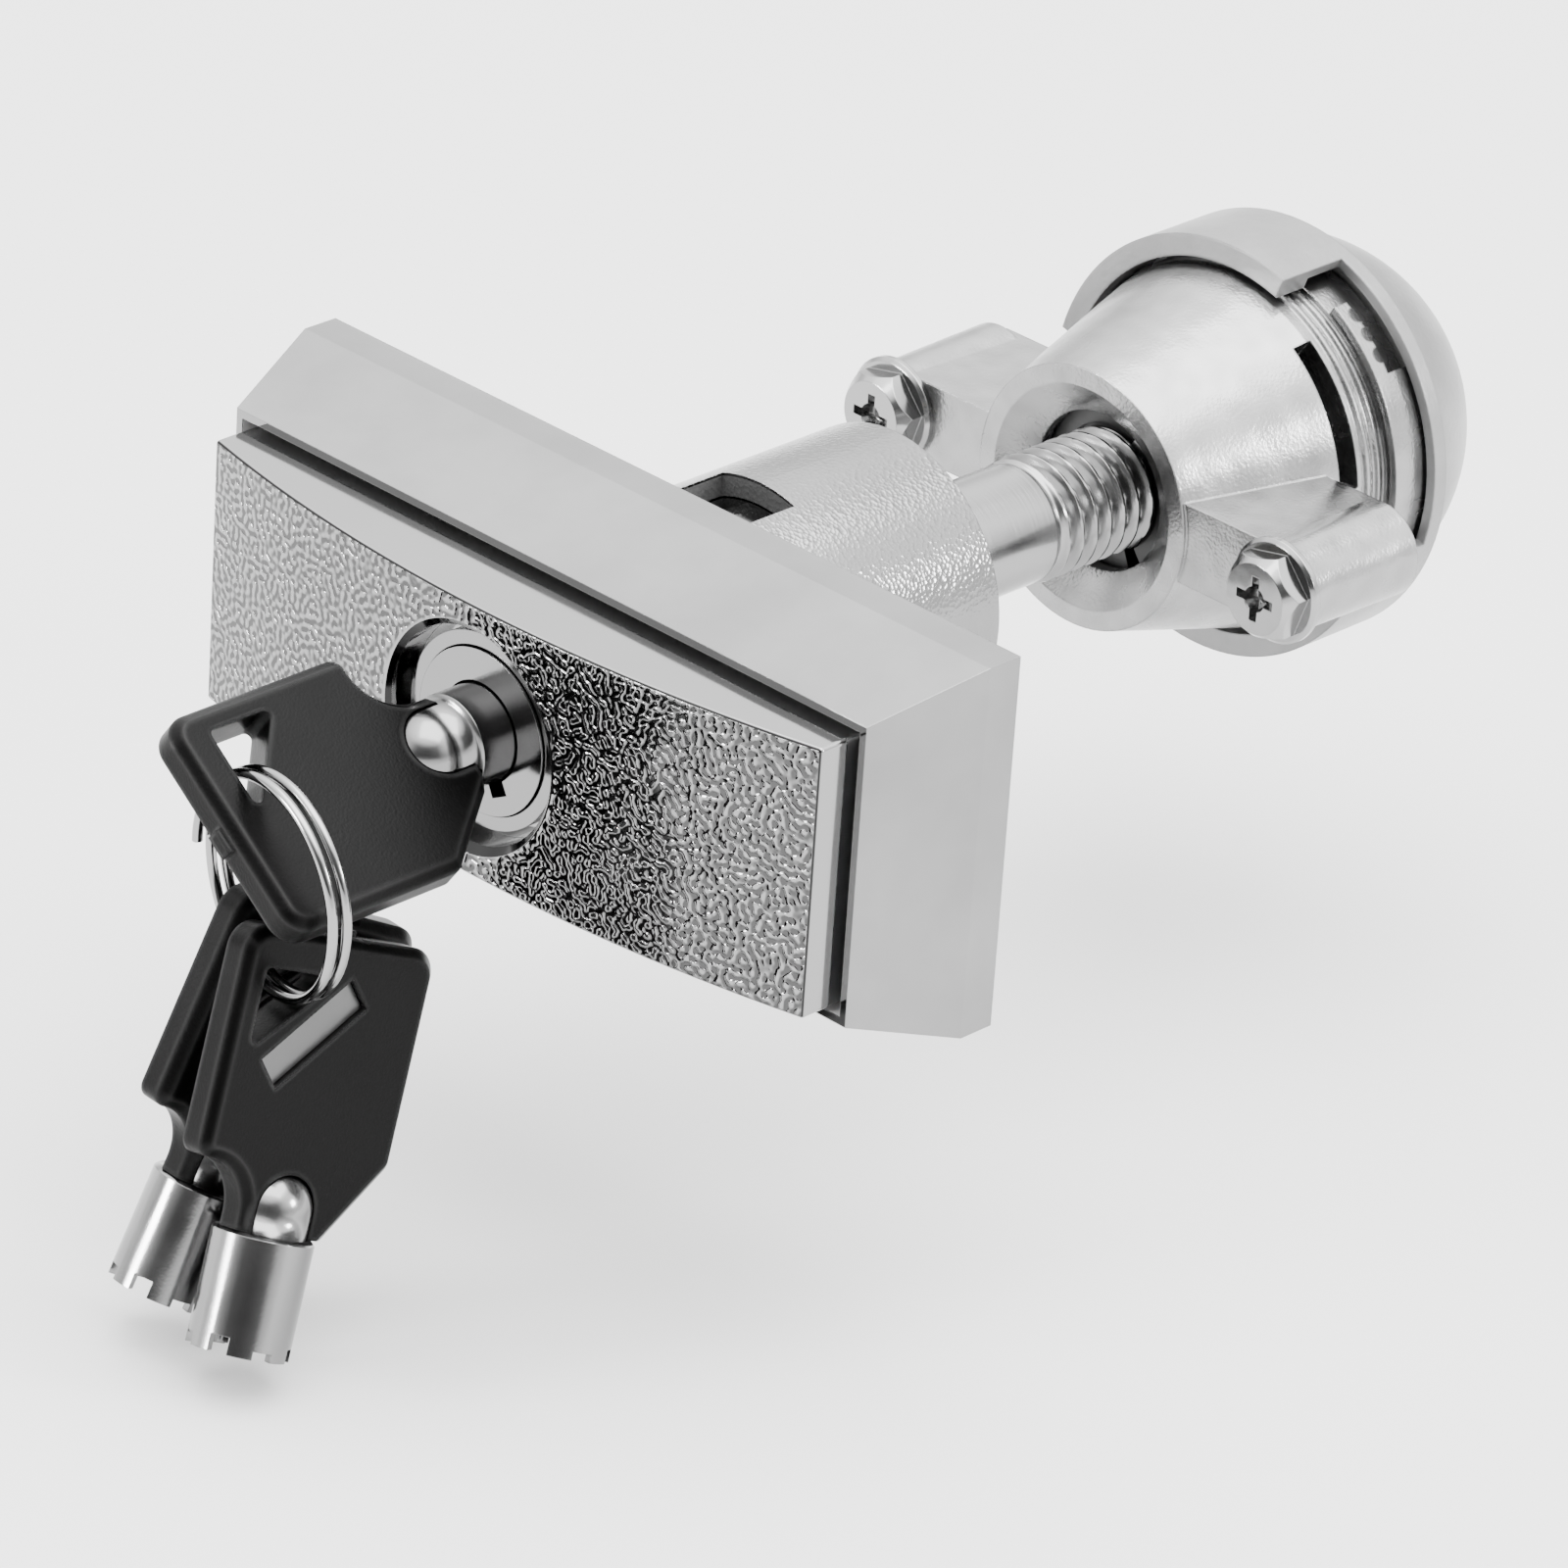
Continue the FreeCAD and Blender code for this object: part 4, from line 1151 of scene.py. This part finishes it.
@dataclass
class Studio:
    """Camera at the photograph's place, pale floor, softboxes and an even room.

    Attributes:
        eye_mm: the camera's place.
        looking: its viewing direction.
        roll_deg: how far the frame is turned about that direction.
        lens_mm: focal length on the sensor below.
        sensor_mm: width of the sensor.
        clip: nearest and farthest distance in metres that the camera sees.
        floor_gap_mm: how far the floor lies under the lowest key.
        floor_reach: how far the floor runs out from the middle, in metres.
        floor_points: points along each side of the floor.
        floor_colour: colour of its paper.
        floor_roughness: roughness of its paper.
        room_power: brightness of the ceiling.
        height_stops: brightness of the room by the sine of the height.
        wall_stops: how much the heading counts, by the sine of the height.
        heading_stops: brightness of the walls by heading in radians, from X towards Y.
        softboxes: a broad one overhead, and two small strong ones that make the wrinkle and the
            blasted collar glint.
    """

    eye_mm: tuple[float, float, float] = (499.4, -512.5, 360.4)
    looking: tuple[float, float, float] = (-0.607863, 0.646268, -0.461345)
    roll_deg: float = 3.927
    lens_mm: float = 198.64
    sensor_mm: float = 36.0
    clip: tuple[float, float] = (0.05, 20.0)
    floor_gap_mm: float = 2.0
    floor_reach: float = 3.0
    floor_points: int = 7
    floor_colour: str = "#CFCFCF"
    floor_roughness: float = 0.9
    room_power: float = 6.2
    height_stops: Stops = (
        (-1.0, 0.42), (0.09, 0.42), (0.15, 0.34), (0.30, 0.44), (0.46, 0.72), (0.60, 0.78), (0.80, 0.95),
        (1.0, 1.0))
    wall_stops: Stops = ((-1.0, 0.0), (0.09, 0.0), (0.14, 1.0), (0.62, 1.0), (0.86, 0.0))
    heading_stops: Stops = (
        (-3.14, 0.85), (-2.6, 0.7), (-1.9, 0.5), (-1.4, 0.10), (-0.8, 0.06), (-0.25, 0.12), (0.2, 0.8),
        (1.0, 1.0), (1.6, 0.45), (2.1, 0.9), (3.14, 0.85))
    softboxes: tuple[Softbox, ...] = (
        Softbox("overhead", (0.1, 0.1, 1.1), 1.2, 26.0),
        Softbox("front_left", (-0.55, -1.0, 0.28), 0.3, 19.0),
        Softbox("right_side", (0.88, 0.52, 0.40), 0.22, 9.0),
    )

    def camera(self) -> None:
        """Sets the camera: level, then turned about its own direction by the roll."""
        data = bpy.data.cameras.new("photo_camera")
        data.sensor_width = self.sensor_mm
        data.lens = self.lens_mm
        data.clip_start, data.clip_end = self.clip
        camera = bpy.data.objects.new("photo_camera", data)
        bpy.context.scene.collection.objects.link(camera)
        ahead = Vector(self.looking).normalized()
        level = ahead.cross(Vector((0, 0, 1))).normalized()
        above = level.cross(ahead)
        roll = math.radians(self.roll_deg)
        right = level * math.cos(roll) + above * math.sin(roll)
        up = right.cross(ahead)
        turned = Matrix((right, up, -ahead)).transposed().to_4x4()
        camera.matrix_world = Matrix.Translation(Vector(self.eye_mm) * MM) @ turned
        bpy.context.scene.camera = camera

    def curve(self, tree: Tree, value: Socket, low: float, high: float, stops: Stops) -> Socket:
        """Brightness as straight runs between stops.

        Args:
            tree: the world's node tree.
            value: what the curve reads.
            low: the value at the ramp's start.
            high: the value at its end.
            stops: pairs of value and brightness.

        Returns:
            The brightness.
        """
        place = add(tree, "MapRange", {"Value": value, "From Min": low, "From Max": high})
        ramp = add(tree, "ValToRGB", {0: place.outputs[0]})
        points = ramp.color_ramp.elements
        while len(points) < len(stops):
            # A new stop goes anywhere, since the next loop puts every stop in its place
            points.new(0.5)
        for point, (at, grey) in zip(points, stops):
            point.position, point.color = (at - low) / (high - low), (grey, grey, grey, 1.0)
        return ramp.outputs[0]

    def room(self) -> None:
        """Room of pale walls with a dark side behind the camera, as plated faces would mirror it.

        The brightness is one curve of the height, dimmed below the ceiling by one of the heading.
        """
        world = bpy.data.worlds.new("studio_room")
        world.use_nodes = True
        tree = world.node_tree
        tree.nodes.clear()
        axes = add(tree, "SeparateXYZ", {0: add(tree, "TexCoord").outputs["Generated"]}).outputs
        height = self.curve(tree, axes[2], -1.0, 1.0, self.height_stops)
        heading = add(tree, "Math", {0: axes[1], 1: axes[0]}, operation="ARCTAN2").outputs[0]
        side = self.curve(tree, heading, -math.pi, math.pi, self.heading_stops)
        walls = self.curve(tree, axes[2], -1.0, 1.0, self.wall_stops)
        missing = add(tree, "Math", {0: 1.0, 1: side}, operation="SUBTRACT").outputs[0]
        dim = add(tree, "Math", {0: walls, 1: missing}, operation="MULTIPLY").outputs[0]
        kept = add(tree, "Math", {0: 1.0, 1: dim}, operation="SUBTRACT").outputs[0]
        power = add(tree, "Math", {0: height, 1: kept}, operation="MULTIPLY").outputs[0]
        power = add(tree, "Math", {0: power, 1: self.room_power}, operation="MULTIPLY").outputs[0]
        light = add(tree, "Background", {"Color": (1.0, 1.0, 1.0, 1.0), "Strength": power})
        add(tree, "OutputWorld", {"Surface": light.outputs[0]})
        bpy.context.scene.world = world

    def floor(self, level: float) -> None:
        """Adds the pale floor, a flat sheet of matt paper.

        Args:
            level: its height in metres.
        """
        grid = np.linspace(-self.floor_reach, self.floor_reach, self.floor_points)
        x, y = np.meshgrid(grid, grid, indexing="ij")
        points = np.stack([x, y, np.full_like(x, level)], axis=-1)
        sheet = grid_piece("studio_floor", points[:, ::-1], around=False)
        paper = bpy.data.materials.new("white_paper")
        paper.use_nodes = True
        tree = paper.node_tree
        tree.nodes.clear()
        shader = add(tree, "BsdfPrincipled", {"Base Color": linear(self.floor_colour),
                                              "Roughness": self.floor_roughness})
        add(tree, "OutputMaterial", {"Surface": shader.outputs[0]})
        sheet.data.materials.append(paper)
        sheet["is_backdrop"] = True

    def build(self) -> None:
        """Sets up the whole studio round the finished lock."""
        self.camera()
        self.room()
        low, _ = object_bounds()
        self.floor(low.z - self.floor_gap_mm * MM)
        for softbox in self.softboxes:
            softbox.build()


def main() -> None:
    """Builds the sub-assemblies in order, then the studio."""
    logging.basicConfig(level=logging.INFO, format="%(name)s: %(message)s")
    thread = ThreadForm()
    steps: tuple[Callable[[], None], ...] = (
        BezelHousing().build, PopHandle().build, ThreadedStud(thread).build,
        SplitNutUnit(thread).build, KeySet().build, Studio().build,
    )
    for step in steps:
        step()


if __name__ == "__main__":
    main()
